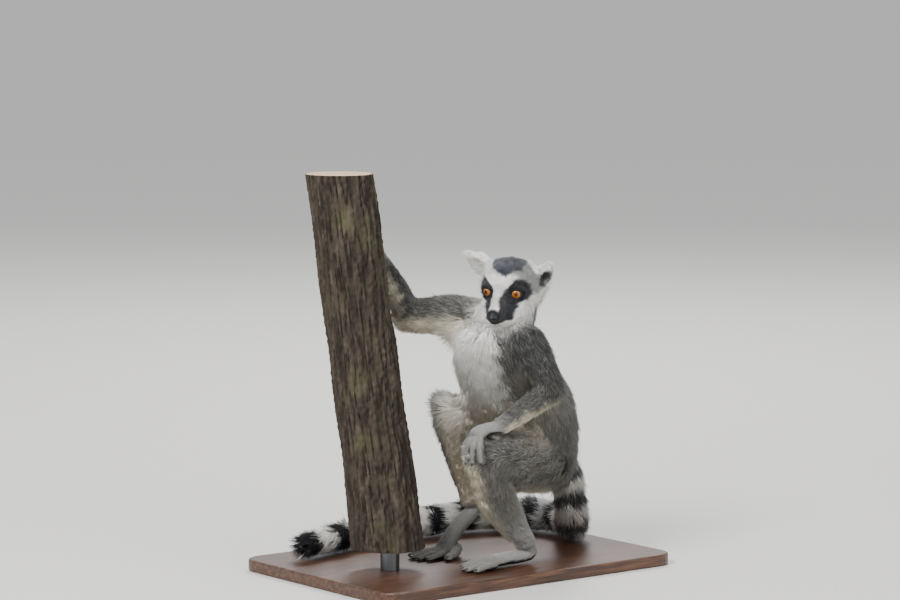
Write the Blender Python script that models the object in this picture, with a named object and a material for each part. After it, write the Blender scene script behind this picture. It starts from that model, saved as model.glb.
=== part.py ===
"""Ring-tailed lemur, life size, as a still museum model.

The animal stands half squatting on a flat base. Its right arm reaches out to a cut length of
tree trunk, its left hand rests on its left knee, and its tail hangs to the base and lies
round its right side. Each solid reaches out to the tips of the coat.

Shapes are given in millimetres in a frame of their own, and a frame's matrix places them in
metres. The body frame starts on the base's top under the pelvis: +X is the animal's left,
-Y is where its chest faces, +Z is up. The head frame starts at the middle of the skull:
+X points at the nose, +Y to the left ear, +Z to the crown.
"""

import math

import bmesh
import bpy
from mathutils import Matrix, Quaternion, Vector

# ------------------------------------------------------------------ driving dimensions, in mm
MM = 0.001
GAP = 0.3
SEAM = 0.36             # how far a neighbour is fattened before it carves a piece

BASE_LENGTH = 425.0
BASE_WIDTH = 290.0
BASE_THICKNESS = 14.0
BASE_CORNER = 24.0
BASE_EDGE = 2.0

PELVIS_FROM_BASE_CENTRE = (40.0, 87.5)

PERCH_FOOT = (-15.0, -206.5)
PERCH_LEAN = (-0.0995, -0.0858)      # sideways run for each mm of height
PERCH_RADIUS = 40.0
PERCH_SWELL = 4.0                    # how much wider the trunk is at its foot
PERCH_BOTTOM = 26.0
PERCH_TOP = 455.0
ROD_RADIUS = 11.0

SKULL_MIDDLE = (12.0, -52.4, 326.1)
HEAD_FORWARD = Vector((0.4625, -0.8399, -0.2840))
HEAD_LEFT = Vector((0.8714, 0.4896, -0.0291))

EYE_RADIUS = 7.9
EYE_PLACE = (25.2, 16.4, -3.0)
EAR_THICKNESS = 6.0

TAIL_RADIUS = 22.5
TAIL_TIP_RADIUS = 17.0
TAIL_LENGTHS = 5
TAIL_SIDES = 13
PERCH_SIDES = 24

DIGIT_RADIUS = 4.2

# ------------------------------------------------------------------------- frames of reference
BODY = (
    Matrix.Translation(Vector((*PELVIS_FROM_BASE_CENTRE, BASE_THICKNESS)) * MM)
    @ Matrix.Scale(MM, 4)
)


def axes_frame(origin, forward, left):
    """A frame with +X forward and +Y as near to left as it can be, in the body frame."""
    x_axis = Vector(forward).normalized()
    z_axis = x_axis.cross(Vector(left)).normalized()
    y_axis = z_axis.cross(x_axis)
    turn = Matrix((x_axis, y_axis, z_axis)).transposed().to_4x4()
    return BODY @ Matrix.Translation(origin) @ turn


HEAD = axes_frame(SKULL_MIDDLE, HEAD_FORWARD, HEAD_LEFT)


def perch_axis(height):
    """The trunk's middle at a height above the base's top."""
    return Vector((
        PERCH_FOOT[0] + PERCH_LEAN[0] * height,
        PERCH_FOOT[1] + PERCH_LEAN[1] * height,
        height,
    ))


# ------------------------------------------------------------- stations: x, y, z, radius, ...
TORSO = [
    [(0, -2, 114, 48, 45, 43), (0, -13, 136, 58, 61, 50), (0, -20, 158, 61, 65, 46),
     (0, -29, 184, 60, 66, 46), (0, -48, 214, 54.5, 60, 44), (0, -64, 243, 50, 56, 40),
     (0, -66, 262, 42, 42, 27)],
]
NECK = [
    [(1, -62, 266, 39, 38, 28), (8, -55, 290, 37, 37, 26), (12, -50, 310, 34, 34, 24)],
]
SKULL = [
    [(-3, 0, 1.5, 31, 34, 28.5), (6, 0, 3, 27, 32, 26), (13, 0, 4, 19, 26, 19)],
    [(0, 18, -8, 24, 20, 21), (15, 15, -10, 15, 15, 15), (27, 11, -16, 11, 11, 10)],
    [(0, -18, -8, 24, 20, 21), (15, -15, -10, 15, 15, 15), (27, -11, -16, 11, 11, 10)],
    [(20, 0, 1, 15, 12, 13), (34, 0, -5, 10, 8.5, 9)],
    [(28, 0, -13, 14, 14, 14), (40, 0, -15, 11, 12, 12), (50, 0, -17, 9.5, 10, 10.5),
     (58.5, 0, -19, 7.8, 8.6, 8.4)],
    [(12, 0, -18, 18, 20, 13), (32, 0, -23, 13, 13, 10), (48, 0, -26, 9, 9, 6.5),
     (54, 0, -26, 6, 6.5, 4.6)],
    [(64, 0, -18.8, 4.8, 5.8, 5)],
]
UPPER_ARM = {
    "left": [[(36, -54, 262, 23), (58, -48, 236, 20.5), (75, -42, 206, 17)]],
    "right": [[(-34, -66, 281, 25), (-46, -104, 284.5, 24.5), (-61, -145, 283, 20.5)]],
}
FOREARM = {
    "left": [[(75, -42, 206, 16), (70, -72, 187, 15), (61, -104, 167, 10.5)]],
    "right": [[(-61, -144, 282, 18.5), (-60, -164, 318, 15.5), (-69, -188.5, 358, 11)]],
}
THIGH = {
    "left": [[(28, -18, 118, 41), (43, -62, 123, 33, 37, 42), (50, -118, 132, 22, 22, 22)]],
    "right": [[(-28, -18, 122, 40), (-38, -60, 148, 30, 34, 34), (-38, -106, 178, 22, 22, 22)]],
}
SHANK = {
    "left": [[(50, -118, 130, 21.5), (51, -104, 80, 26), (50, -62, 27, 12)]],
    "right": [[(-38, -106, 176, 21), (-38, -91, 122, 18.5), (-38, -74, 66, 11)]],
}
FOOT = {
    "left": [
        [(50, -62, 27, 11.5), (50, -56, 15, 10)],
        [(50, -54, 10, 9.5, 10, 10), (51, -84, 11, 11, 12, 10), (53, -116, 8, 14, 13, 8)],
    ],
    "right": [
        [(-38, -74, 66, 11), (-38, -68, 58, 10)],
        [(-38, -67, 56, 9.5), (-39, -92, 34, 10.5), (-41, -116, 9, 13, 12, 8.5)],
    ],
}
TAIL_PATH = [                        # where it lies, its height follows from its radius
    (0, 22, 122), (0, 39, 96), (-1, 48, 62), (-11, 59, 33), (-38, 82, 20),
    (-84, 96, 20), (-132, 72, 20), (-157, 12, 20), (-160, -62, 18), (-154, -132, 16),
    (-138, -204, 14), (-126, -246, 12),
]
EARS = {
    "left": {"base": (1, 26, -8), "tip": (-20, 43, 15), "faces": (0.60, 0.80, 0.0), "width": 35.0},
    "right": {
        "base": (-8, -27, 7), "tip": (-10, -58, 26), "faces": (0.86, -0.42, 0.1), "width": 29.0,
    },
}


# ------------------------------------------------------------------------------ shape helpers
def smooth_path(stations, per_span):
    """Even steps on a Catmull-Rom curve through the stations, radii included."""
    padded = [stations[0], *stations, stations[-1]]
    path = []
    for before, start, end, after in zip(padded, padded[1:], padded[2:], padded[3:]):
        for k in range(per_span):
            t = k / per_span
            path.append(tuple(
                0.5 * (2 * s + (e - b) * t + (2 * b - 5 * s + 4 * e - a) * t * t
                       + (3 * s - b - 3 * e + a) * t * t * t)
                for b, s, e, a in zip(before, start, end, after)
            ))
    path.append(tuple(float(value) for value in stations[-1]))
    return path


def new_object(name, bm):
    """Turn the bmesh into an object in the scene."""
    mesh = bpy.data.meshes.new(name)
    bm.to_mesh(mesh)
    bm.free()
    obj = bpy.data.objects.new(name, mesh)
    bpy.context.scene.collection.objects.link(obj)
    mesh.shade_smooth()
    return obj


def bake(obj):
    """Apply the object's modifiers and keep its largest closed body, as triangles."""
    graph = bpy.context.evaluated_depsgraph_get()
    graph.update()
    mesh = bpy.data.meshes.new_from_object(obj.evaluated_get(graph))
    obj.modifiers.clear()
    obj.data = mesh
    bm = bmesh.new()
    bm.from_mesh(mesh)
    unseen = set(bm.verts)
    bodies = []
    while unseen:
        body = {unseen.pop()}
        edge_of_body = list(body)
        while edge_of_body:
            for edge in edge_of_body.pop().link_edges:
                for vert in edge.verts:
                    if vert in unseen:
                        unseen.remove(vert)
                        body.add(vert)
                        edge_of_body.append(vert)
        bodies.append(body)
    bodies.sort(key=len)
    for scrap in bodies[:-1]:
        bmesh.ops.delete(bm, geom=list(scrap), context="VERTS")
    bmesh.ops.triangulate(bm, faces=bm.faces)
    bm.to_mesh(mesh)
    bm.free()


def add_chain(bm, stations, frame, per_span):
    """Set ellipsoids close together along the smooth path through the stations."""
    for x, y, z, *radii in smooth_path([full_station(s) for s in stations], per_span):
        place = frame @ Matrix.Translation((x, y, z)) @ Matrix.Diagonal((*radii, 1.0))
        bmesh.ops.create_icosphere(bm, subdivisions=3, radius=1.0, matrix=place)


def full_station(station):
    """A station with one radius gets the same radius on all three axes."""
    return station if len(station) == 6 else (*station[:3], *(station[3],) * 3)


def flesh(name, chains, voxel, triangles, frame=BODY, per_span=5):
    """Blend chains of ellipsoids into one rounded solid with about so many triangles."""
    bm = bmesh.new()
    for chain in chains:
        add_chain(bm, chain, frame, per_span)
    obj = new_object(name, bm)
    blend = obj.modifiers.new("blend", "REMESH")
    blend.mode = "VOXEL"
    blend.voxel_size = voxel * MM
    soften = obj.modifiers.new("soften", "SMOOTH")
    soften.factor = 0.5
    soften.iterations = 4
    bake(obj)
    thin = obj.modifiers.new("thin", "DECIMATE")
    thin.ratio = triangles / len(obj.data.polygons)
    bake(obj)
    return obj


def fattened(obj, by):
    """A copy of the object with its skin moved out along its normals."""
    copy = obj.copy()
    copy.data = obj.data.copy()
    bpy.context.scene.collection.objects.link(copy)
    grow = copy.modifiers.new("grow", "DISPLACE")
    grow.strength = by * MM
    grow.mid_level = 0.0
    bake(copy)
    return copy


def carve(obj, *neighbours):
    """Cut the object back from its neighbours, which leaves the gap between them."""
    for neighbour in neighbours:
        cutter = fattened(neighbour, SEAM)
        cut = obj.modifiers.new("cut", "BOOLEAN")
        cut.operation = "DIFFERENCE"
        cut.object = cutter
        bake(obj)
        bpy.data.objects.remove(cutter)


def slice_off(obj, point, away):
    """Cut the object flat at a point and drop the side that the direction points to."""
    bm = bmesh.new()
    bm.from_mesh(obj.data)
    everything = [*bm.verts, *bm.edges, *bm.faces]
    cut = bmesh.ops.bisect_plane(
        bm, geom=everything, plane_co=BODY @ Vector(point), plane_no=Vector(away),
        clear_outer=True,
    )
    rim = [item for item in cut["geom_cut"] if isinstance(item, bmesh.types.BMEdge)]
    bmesh.ops.holes_fill(bm, edges=rim)
    bmesh.ops.triangulate(bm, faces=bm.faces)
    bmesh.ops.recalc_face_normals(bm, faces=bm.faces)
    bm.to_mesh(obj.data)
    bm.free()


def tube(name, rings, sides):
    """A closed tube: one circle extruded from ring frame to ring frame, then both ends filled."""
    bm = bmesh.new()
    bmesh.ops.create_circle(bm, segments=sides, radius=1.0, matrix=rings[0])
    rim = list(bm.edges)
    for last, ring in zip(rings, rings[1:]):
        grown = bmesh.ops.extrude_edge_only(bm, edges=rim)["geom"]
        rim = [item for item in grown if isinstance(item, bmesh.types.BMEdge)]
        verts = [item for item in grown if isinstance(item, bmesh.types.BMVert)]
        bmesh.ops.transform(bm, matrix=ring @ last.inverted(), verts=verts)
    bmesh.ops.holes_fill(bm, edges=bm.edges)
    bmesh.ops.triangulate(bm, faces=bm.faces)
    bmesh.ops.recalc_face_normals(bm, faces=bm.faces)
    return new_object(name, bm)


def ring_frames(path, radii):
    """Frames square to the path that turn as little as they can, scaled to the radii."""
    points = [Vector(point) for point in path]
    turn = Quaternion()
    heading = Vector((0, 0, 1))
    rings = []
    for k, radius in enumerate(radii):
        ahead = points[min(k + 1, len(points) - 1)]
        behind = points[max(k - 1, 0)]
        new_heading = (ahead - behind).normalized()
        turn = heading.rotation_difference(new_heading) @ turn
        heading = new_heading
        size = Matrix.Diagonal((radius, radius, 1.0, 1.0))
        rings.append(BODY @ Matrix.Translation(points[k]) @ turn.to_matrix().to_4x4() @ size)
    return rings


# ----------------------------------------------------------------------------------- finishes
def finish(name, colour, roughness, metallic=0.0):
    material = bpy.data.materials.new(name)
    material.use_nodes = True
    shader = material.node_tree.nodes["Principled BSDF"]
    shader.inputs["Base Color"].default_value = (*colour, 1.0)
    shader.inputs["Roughness"].default_value = roughness
    shader.inputs["Metallic"].default_value = metallic
    return material


def all_finishes():
    return {
        "coat_grey": finish("grey coat", (0.21, 0.19, 0.16), 0.9),
        "coat_pale": finish("pale coat", (0.62, 0.60, 0.55), 0.9),
        "coat_face": finish("white and black face", (0.50, 0.49, 0.46), 0.85),
        "coat_tail": finish("banded coat", (0.30, 0.29, 0.28), 0.9),
        "eye_glass": finish("amber eye", (0.60, 0.22, 0.03), 0.08),
        "bark": finish("bark", (0.12, 0.085, 0.055), 0.9),
        "stand_wood": finish("waxed dark wood", (0.09, 0.045, 0.022), 0.4),
        "stand_metal": finish("dark steel", (0.10, 0.10, 0.11), 0.4, 1.0),
    }


# --------------------------------------------------------------------------------- the animal
def make_torso():
    return flesh("torso", TORSO, voxel=4.5, triangles=700)


def make_head():
    """Skull and muzzle, with a socket for each eye."""
    return flesh("head", SKULL, voxel=2.2, triangles=880, frame=HEAD, per_span=6)


def make_eye(side):
    forward, outward, up = EYE_PLACE
    across = outward if side == "left" else -outward
    bm = bmesh.new()
    bmesh.ops.create_icosphere(
        bm, subdivisions=2, radius=EYE_RADIUS,
        matrix=HEAD @ Matrix.Translation((forward, across, up)),
    )
    return new_object(f"eye_{side}", bm)


def make_ear(side, head):
    """A leaf-shaped shell, cupped on the side that it faces."""
    base = Vector(EARS[side]["base"])
    rise = Vector(EARS[side]["tip"]) - base
    ear_frame = HEAD @ Matrix.Translation(base) @ facing_frame(rise, EARS[side]["faces"])
    long = rise.length
    wide = EARS[side]["width"] / 2
    leaf = [
        [(0, 0, 0.34 * long, wide, EAR_THICKNESS, 0.50 * long),
         (0, 0, 0.66 * long, 0.62 * wide, 0.6 * EAR_THICKNESS, 0.36 * long)],
    ]
    ear = flesh(f"ear_{side}", leaf, voxel=1.2, triangles=150, frame=ear_frame)
    cup = flesh(
        "cup", [[(0, 1.15 * EAR_THICKNESS, 0.44 * long, 0.66 * wide, EAR_THICKNESS, 0.40 * long)]],
        voxel=1.2, triangles=70, frame=ear_frame,
    )
    carve(ear, head, cup)
    bpy.data.objects.remove(cup)
    return ear


def facing_frame(rise, faces):
    """+Z along the rise, +Y as near as it can be to the way the shell faces."""
    z_axis = Vector(rise).normalized()
    x_axis = Vector(faces).cross(z_axis).normalized()
    y_axis = z_axis.cross(x_axis)
    return Matrix((x_axis, y_axis, z_axis)).transposed().to_4x4()


def around_perch(angle, height, lift):
    """A point on the trunk's bark, lifted off it, at an angle from +X round the trunk."""
    middle = perch_axis(height)
    reach = PERCH_RADIUS + lift
    turn = math.radians(angle)
    return (middle.x + reach * math.cos(turn), middle.y + reach * math.sin(turn), height)


def hand_on_perch():
    """Palm and digits laid on the bark; the digits curl round the trunk's far side."""
    palm = [
        (*around_perch(110, 358, 12.5), 10.5),
        (*around_perch(119, 370, 9), 9.5),
        (*around_perch(130, 381, 7), 11, 9, 13),
        (*around_perch(141, 389, 6), 9, 8, 13),
    ]
    digits = []
    for start, end, rise in ((376, 366, 0), (384, 385, 4), (393, 404, 6), (399, 421, 6)):
        digits.append([
            (*around_perch(141, start, 5), 5.2),
            (*around_perch(161, 0.5 * (start + end) + rise / 2, 5), DIGIT_RADIUS),
            (*around_perch(183, end, 4), DIGIT_RADIUS - 0.8),
        ])
    thumb = [
        (*around_perch(123, 388, 5), 5.2),
        (*around_perch(115, 402, 4.5), DIGIT_RADIUS),
        (*around_perch(113, 414, 4), DIGIT_RADIUS - 0.6),
    ]
    return [palm, *digits, thumb]


def around_knee(side, turn, rise, lift):
    """A point round the knee: turned from straight ahead towards the left, then raised."""
    x, y, z, radius = THIGH[side][0][-1][:4]
    a = math.radians(turn)
    b = math.radians(rise)
    reach = radius + lift
    return (
        x + reach * math.cos(b) * math.sin(a),
        y - reach * math.cos(b) * math.cos(a),
        z + reach * math.sin(b),
    )


def hand_on_knee():
    """Palm on top of the knee, digits hanging over its front."""
    palm = [
        (61, -104, 167, 10),
        (59, -110, 164, 9.5, 10, 8),
        (*around_knee("left", 0, 84, 7.5), 12, 12, 7),
        (*around_knee("left", 0, 62, 6.5), 13, 8, 7),
    ]
    digits = []
    for turn in (-22, -6, 11, 28):
        digits.append([
            (*around_knee("left", 0.8 * turn, 56, 5.5), 5.2),
            (*around_knee("left", 1.2 * turn, 26, 4.8), DIGIT_RADIUS),
            (*around_knee("left", 1.3 * turn, -8, 4.2), DIGIT_RADIUS - 0.8),
        ])
    thumb = [
        (*around_knee("left", -60, 66, 6), 5),
        (*around_knee("left", -76, 44, 5), DIGIT_RADIUS),
        (*around_knee("left", -80, 22, 4.5), DIGIT_RADIUS - 0.6),
    ]
    return [palm, *digits, thumb]


def foot_chains(side):
    """Sole, four toes and the great toe that stands out towards the midline."""
    ball_x, ball_y = FOOT[side][1][-1][:2]
    inward = -1 if side == "left" else 1
    chains = list(FOOT[side])
    for place, reach in ((-1.5, 26), (-0.5, 32), (0.5, 34), (1.5, 29)):
        start_x = ball_x - inward * 6.6 * place
        chains.append([
            (start_x, ball_y - 2, 7.5, 6),
            (start_x - inward * 2.2 * place, ball_y - 0.55 * reach, 6.5, DIGIT_RADIUS + 0.4),
            (start_x - inward * 3.4 * place, ball_y - reach, 4.6, DIGIT_RADIUS),
        ])
    chains.append([
        (ball_x + inward * 4, ball_y + 22, 11, 8),
        (ball_x + inward * 18, ball_y + 8, 8, 6.4),
        (ball_x + inward * 27, ball_y - 8, 5, 5.2),
    ])
    return chains


def make_limbs(torso, neck, perch):
    """Both arms and both legs, each carved by the part that it grows from."""
    made = {}
    for side in ("left", "right"):
        thigh = flesh(f"thigh_{side}", THIGH[side], voxel=4, triangles=290)
        shank = flesh(f"shank_{side}", SHANK[side], voxel=3, triangles=200)
        foot = flesh(f"foot_{side}", foot_chains(side), voxel=2, triangles=420)
        upper = flesh(f"upper_arm_{side}", UPPER_ARM[side], voxel=3.5, triangles=200)
        lower = flesh(f"forearm_{side}", FOREARM[side], voxel=3, triangles=160)
        carve(thigh, torso)
        carve(shank, thigh, torso)
        slice_off(foot, (0, 0, GAP), (0, 0, -1))
        carve(foot, shank)
        carve(upper, torso, neck)
        carve(lower, upper, thigh)
        chains = hand_on_knee() if side == "left" else hand_on_perch()
        hand = flesh(f"hand_{side}", chains, voxel=1.8, triangles=410)
        carve(hand, lower, *((thigh, shank) if side == "left" else (perch,)))
        made[side] = {"coat_grey": [thigh, shank, upper, lower], "coat_pale": [foot, hand]}
    return made


def make_tail(torso):
    """A round, tapering brush in lengths, with a thin cut between one and the next."""
    path = smooth_path(TAIL_PATH, per_span=3)
    last = len(path) - 1
    radii = [TAIL_RADIUS + (TAIL_TIP_RADIUS - TAIL_RADIUS) * (k / last) ** 2 for k in range(last + 1)]
    path = [(x, y, max(z, radius + 1.3 * GAP)) for (x, y, z), radius in zip(path, radii)]
    rings = ring_frames(path, radii)
    round_end = [(0.86, 5.0), (0.58, 9.0), (0.2, 11.5)]
    for share, onward in round_end:
        step = Matrix.Translation((0, 0, onward)) @ Matrix.Diagonal((share, share, 1.0, 1.0))
        rings.append(rings[last] @ step)
    lengths = []
    for k in range(TAIL_LENGTHS):
        first = round(k * last / TAIL_LENGTHS)
        final = round((k + 1) * last / TAIL_LENGTHS) if k < TAIL_LENGTHS - 1 else len(rings) - 1
        span = rings[first:final + 1]
        span[0] = span[0] @ Matrix.Translation((0, 0, GAP / 2))
        if k < TAIL_LENGTHS - 1:
            span[-1] = span[-1] @ Matrix.Translation((0, 0, -GAP / 2))
        lengths.append(tube(f"tail_{k + 1}", span, TAIL_SIDES))
    return lengths


# -------------------------------------------------------------------------- perch and stand
def make_perch():
    """The cut length of trunk, a little wider at its foot, with flat sawn ends."""
    heights = [PERCH_BOTTOM + (PERCH_TOP - PERCH_BOTTOM) * k / 6 for k in range(7)]
    rings = []
    for height in heights:
        wide = PERCH_RADIUS + PERCH_SWELL * (1 - height / PERCH_TOP) ** 3
        rings.append(
            BODY @ Matrix.Translation(perch_axis(height)) @ Matrix.Diagonal((wide, wide, 1, 1))
        )
    perch = tube("perch_trunk", rings, PERCH_SIDES)
    perch.data.set_sharp_from_angle(angle=math.radians(40))
    return perch


def make_base():
    """A flat plate with round corners and softened edges."""
    bm = bmesh.new()
    size = Matrix.Diagonal((BASE_WIDTH * MM, BASE_LENGTH * MM, BASE_THICKNESS * MM, 1.0))
    middle = Matrix.Translation((0, 0, BASE_THICKNESS * MM / 2))
    bmesh.ops.create_cube(bm, size=1.0, matrix=middle @ size)
    upright = [e for e in bm.edges if abs(e.verts[0].co.z - e.verts[1].co.z) > GAP * MM]
    bmesh.ops.bevel(
        bm, geom=upright, offset=BASE_CORNER * MM, segments=5, profile=0.5, affect="EDGES"
    )
    rims = [e for e in bm.edges if abs(e.verts[0].co.z - e.verts[1].co.z) < GAP * MM]
    bmesh.ops.bevel(
        bm, geom=rims, offset=BASE_EDGE * MM, segments=2, profile=0.5, affect="EDGES"
    )
    bmesh.ops.triangulate(bm, faces=bm.faces)
    base = new_object("stand_base", bm)
    base.data.set_sharp_from_angle(angle=math.radians(40))
    return base


def make_rod():
    """The short rod that carries the trunk."""
    length = PERCH_BOTTOM - 2 * GAP
    middle = perch_axis(PERCH_BOTTOM / 2)
    bm = bmesh.new()
    bmesh.ops.create_cone(
        bm, cap_ends=True, segments=20, radius1=ROD_RADIUS, radius2=ROD_RADIUS, depth=length,
        matrix=BODY @ Matrix.Translation(middle),
    )
    rod = new_object("stand_rod", bm)
    rod.data.set_sharp_from_angle(angle=math.radians(40))
    return rod


# ------------------------------------------------------------------------------- all together
def clear_scene():
    for obj in list(bpy.data.objects):
        bpy.data.objects.remove(obj)


def dress(objects, material):
    for obj in objects:
        obj.data.materials.clear()
        obj.data.materials.append(material)


def main():
    clear_scene()
    finishes = all_finishes()
    perch = make_perch()
    torso = make_torso()
    head = make_head()
    neck = flesh("neck", NECK, voxel=3.5, triangles=180)
    carve(neck, torso, head)
    ears = [make_ear(side, head) for side in ("left", "right")]
    eyes = [make_eye(side) for side in ("left", "right")]
    carve(head, *eyes)
    limbs = make_limbs(torso, neck, perch)
    tail = make_tail(torso)
    carve(tail[0], torso)
    for parts in limbs.values():
        for slot, pieces in parts.items():
            dress(pieces, finishes[slot])
    dress([torso, neck], finishes["coat_grey"])
    dress([head, *ears], finishes["coat_face"])
    dress(eyes, finishes["eye_glass"])
    dress(tail, finishes["coat_tail"])
    dress([perch], finishes["bark"])
    dress([make_base()], finishes["stand_wood"])
    dress([make_rod()], finishes["stand_metal"])


main()
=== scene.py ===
"""Looks of the ring-tailed lemur: one skin, its coat of tufts, glass eyes, nails, bark and stand.

Shapes are worked out in millimetres in the body frame, which starts on the base's top under the
pelvis: +X is the animal's left, -Y is where its chest faces, +Z is up. The head frame starts at
the middle of the skull, with +X at the nose, +Y to the left ear and +Z to the crown.
"""

import math

import bmesh
import bpy
import numpy as np
from mathutils import Matrix, Vector
from mathutils.bvhtree import BVHTree


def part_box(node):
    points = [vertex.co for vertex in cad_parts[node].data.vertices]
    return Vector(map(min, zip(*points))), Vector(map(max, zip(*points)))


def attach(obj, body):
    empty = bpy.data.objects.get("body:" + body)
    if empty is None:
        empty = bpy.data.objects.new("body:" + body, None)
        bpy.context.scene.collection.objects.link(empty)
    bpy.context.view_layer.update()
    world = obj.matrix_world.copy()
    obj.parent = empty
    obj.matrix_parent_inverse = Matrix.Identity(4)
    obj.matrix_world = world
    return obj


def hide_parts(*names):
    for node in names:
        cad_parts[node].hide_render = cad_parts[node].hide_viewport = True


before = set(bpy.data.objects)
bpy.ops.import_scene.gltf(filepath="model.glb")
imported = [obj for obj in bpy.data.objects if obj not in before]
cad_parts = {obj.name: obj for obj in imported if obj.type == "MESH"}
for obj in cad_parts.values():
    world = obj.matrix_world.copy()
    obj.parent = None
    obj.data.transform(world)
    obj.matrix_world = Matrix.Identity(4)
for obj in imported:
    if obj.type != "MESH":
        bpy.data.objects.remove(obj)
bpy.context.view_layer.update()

MM = 0.001
SEED = 41

# ------------ body and pose
BASE_LOW, BASE_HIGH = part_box("stand_base")
PELVIS_FROM_BASE_CENTRE = (0.040, 0.0875)   # in m
BODY_ORIGIN = np.array([
    0.5 * (BASE_LOW.x + BASE_HIGH.x) + PELVIS_FROM_BASE_CENTRE[0],
    0.5 * (BASE_LOW.y + BASE_HIGH.y) + PELVIS_FROM_BASE_CENTRE[1],
    BASE_HIGH.z,
])

SKULL_MIDDLE = np.array([12.0, -52.4, 326.1])
HEAD_FORWARD = np.array([0.4625, -0.8399, -0.2840])
HEAD_LEFT = np.array([0.8714, 0.4896, -0.0291])
NOSE_TIP = (69.0, 0.0, -18.8)

PERCH_FOOT = np.array([-15.0, -206.5])      # where its middle line meets the base's top
PERCH_LEAN = np.array([-0.0995, -0.0858])   # how far it moves aside for each mm of height
PERCH_RADIUS = 40.0
PERCH_BOTTOM = 26.0
PERCH_TOP = 455.0
PERCH_SWELL = 4.0                           # how much wider it is at its foot
BARK_COLUMNS = 180
BARK_ROWS = 200
FURROW_DEPTH = 2.3
KNEE = np.array([50.0, -118.0, 132.0])      # the left one, which the left hand rests on
KNEE_RADIUS = 22.0

# Middle lines of the parts; the coat lies from the first point towards the last.
LINES = {
    "torso": [(0, -68, 275), (0, -64, 243), (0, -48, 214), (0, -29, 184), (0, -20, 158),
              (0, -13, 136), (0, -2, 100)],
    "neck": [(12, -50, 312), (8, -55, 290), (1, -62, 264)],
    "upper_arm_left": [(36, -54, 262), (58, -48, 236), (75, -42, 206)],
    "upper_arm_right": [(-34, -66, 281), (-46, -104, 284), (-61, -145, 283)],
    "forearm_left": [(75, -42, 206), (70, -72, 187), (61, -104, 167)],
    "forearm_right": [(-61, -144, 282), (-60, -164, 318), (-69, -188, 358)],
    "hand_left": [(61, -104, 167), (56, -122, 161), (52, -144, 143), (50, -146, 128)],
    "hand_right": [(-69, -188, 358), (-77, -196, 371), (-88, -208, 386), (-99, -238, 402)],
    "thigh_left": [(28, -18, 118), (43, -62, 123), (50, -118, 132)],
    "thigh_right": [(-28, -18, 122), (-38, -60, 148), (-38, -106, 178)],
    "shank_left": [(50, -118, 130), (51, -102, 81), (50, -62, 27)],
    "shank_right": [(-38, -106, 176), (-38, -91, 122), (-38, -74, 66)],
    "foot_left": [(50, -50, 22), (50, -84, 11), (53, -116, 8), (54, -150, 5)],
    "foot_right": [(-38, -68, 66), (-39, -92, 34), (-41, -116, 9), (-42, -150, 5)],
    "ear_left": [(1, 26, -8), (-20, 43, 15)],
    "ear_right": [(-8, -27, 7), (-10, -58, 26)],
    "head": [(-36, 0, -2), (0, 0, -4), (30, 0, -12), (69, 0, -18.8)],
}
TAIL_LINE = [
    (0, 22, 122), (0, 39, 96), (-1, 48, 62), (-11, 59, 33), (-38, 82, 22.8),
    (-84, 96, 22.5), (-132, 72, 22), (-157, 12, 21.5), (-160, -62, 21), (-154, -132, 19.5),
    (-138, -204, 18.3), (-126, -246, 17.4), (-123, -258, 17),
]

# The ways that the ears' hollows (head frame) and the limbs' pale inner sides look.
EAR_FACES = {"left": (0.60, 0.80, 0.0), "right": (0.86, -0.42, 0.1)}
PALE_SIDE = {
    "upper_arm_left": (-0.95, 0.2, -0.35), "upper_arm_right": (0.3, -0.35, -1.0),
    "forearm_left": (0.2, -0.25, -0.95), "forearm_right": (0.05, -1.0, -0.5),
    "thigh_left": (-1.0, 0.1, -0.55), "thigh_right": (1.0, -0.45, 0.1),
    "shank_left": (-0.8, -0.9, 0.0), "shank_right": (0.9, -0.7, 0.0),
}

# coat depth, tuft length, tuft width and root spacing of each part, in mm
COATS = {
    "torso": (12.0, 21.0, 0.86, 0.96), "neck": (10.0, 15.0, 0.80, 0.85),
    "thigh": (11.0, 19.0, 0.86, 0.96), "upper_arm": (8.5, 15.0, 0.77, 0.87),
    "shank": (6.5, 12.5, 0.70, 0.85), "forearm": (4.5, 9.5, 0.65, 0.80),
    "hand": (0.8, 2.3, 0.42, 0.60), "foot": (0.9, 2.5, 0.45, 0.68),
    "tail": (12.5, 24.0, 0.90, 0.86), "ear": (1.3, 6.5, 0.50, 0.52),
    "head": (3.0, 6.0, 0.50, 0.56),
}
PAWS = ("hand", "foot")             # modelled bare, finger by finger
SHORT_TUFT = 4.6                    # tufts shorter than this are plain spikes
ROOT_DEPTH = 0.5                    # how far a tuft starts under the skin
FEWEST_TUFTS = 50                   # a piece with fewer is left out
PIECE_TRIANGLES = 195000            # the most in one piece of the coat
TUFT_PATCH = 0.003                  # each tuft's patch on the OFBake map
CHART_SCALE = 1 / 880.0             # that map's width for each mm of skin
CHART_EDGE = 0.01
CHART_GAP = 0.012
CHART_ROOM = 1.2                    # how much wider than its part a chart is

FIRST_RING = 22.5                   # the tail's dark bands, in mm along it
RING_PERIOD = 30.0
RING_GROWTH = 1.2                   # for the square of a band's number
TAIL_LENGTHS = 5

FACE_MARKS = {                      # capsules in the head frame: start, end and their radii
    "muzzle": ((30, 8, -7), (57, 5.5, -21), 10.5, 8.5),
    "jowl": ((38, 9, -16), (54, 6, -22), 9.5, 8.5),
    "eye patch": ((25, 17.0, -3.0), (35, 10.0, -9), 13.2, 7.5),
    "lips": ((58, 6, -23.5), (38, 12, -28), 4.8, 3.4),
    "ear fluff": ((-5, 21, 18), (-1, 31, 12), 6.5, 6.0),
    # painted shade before the left ear, partly its dark inner skin
    "shade before ear": ((-10, 38, 3), (4, 32, -6), 5.0, 4.0),
}

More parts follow.
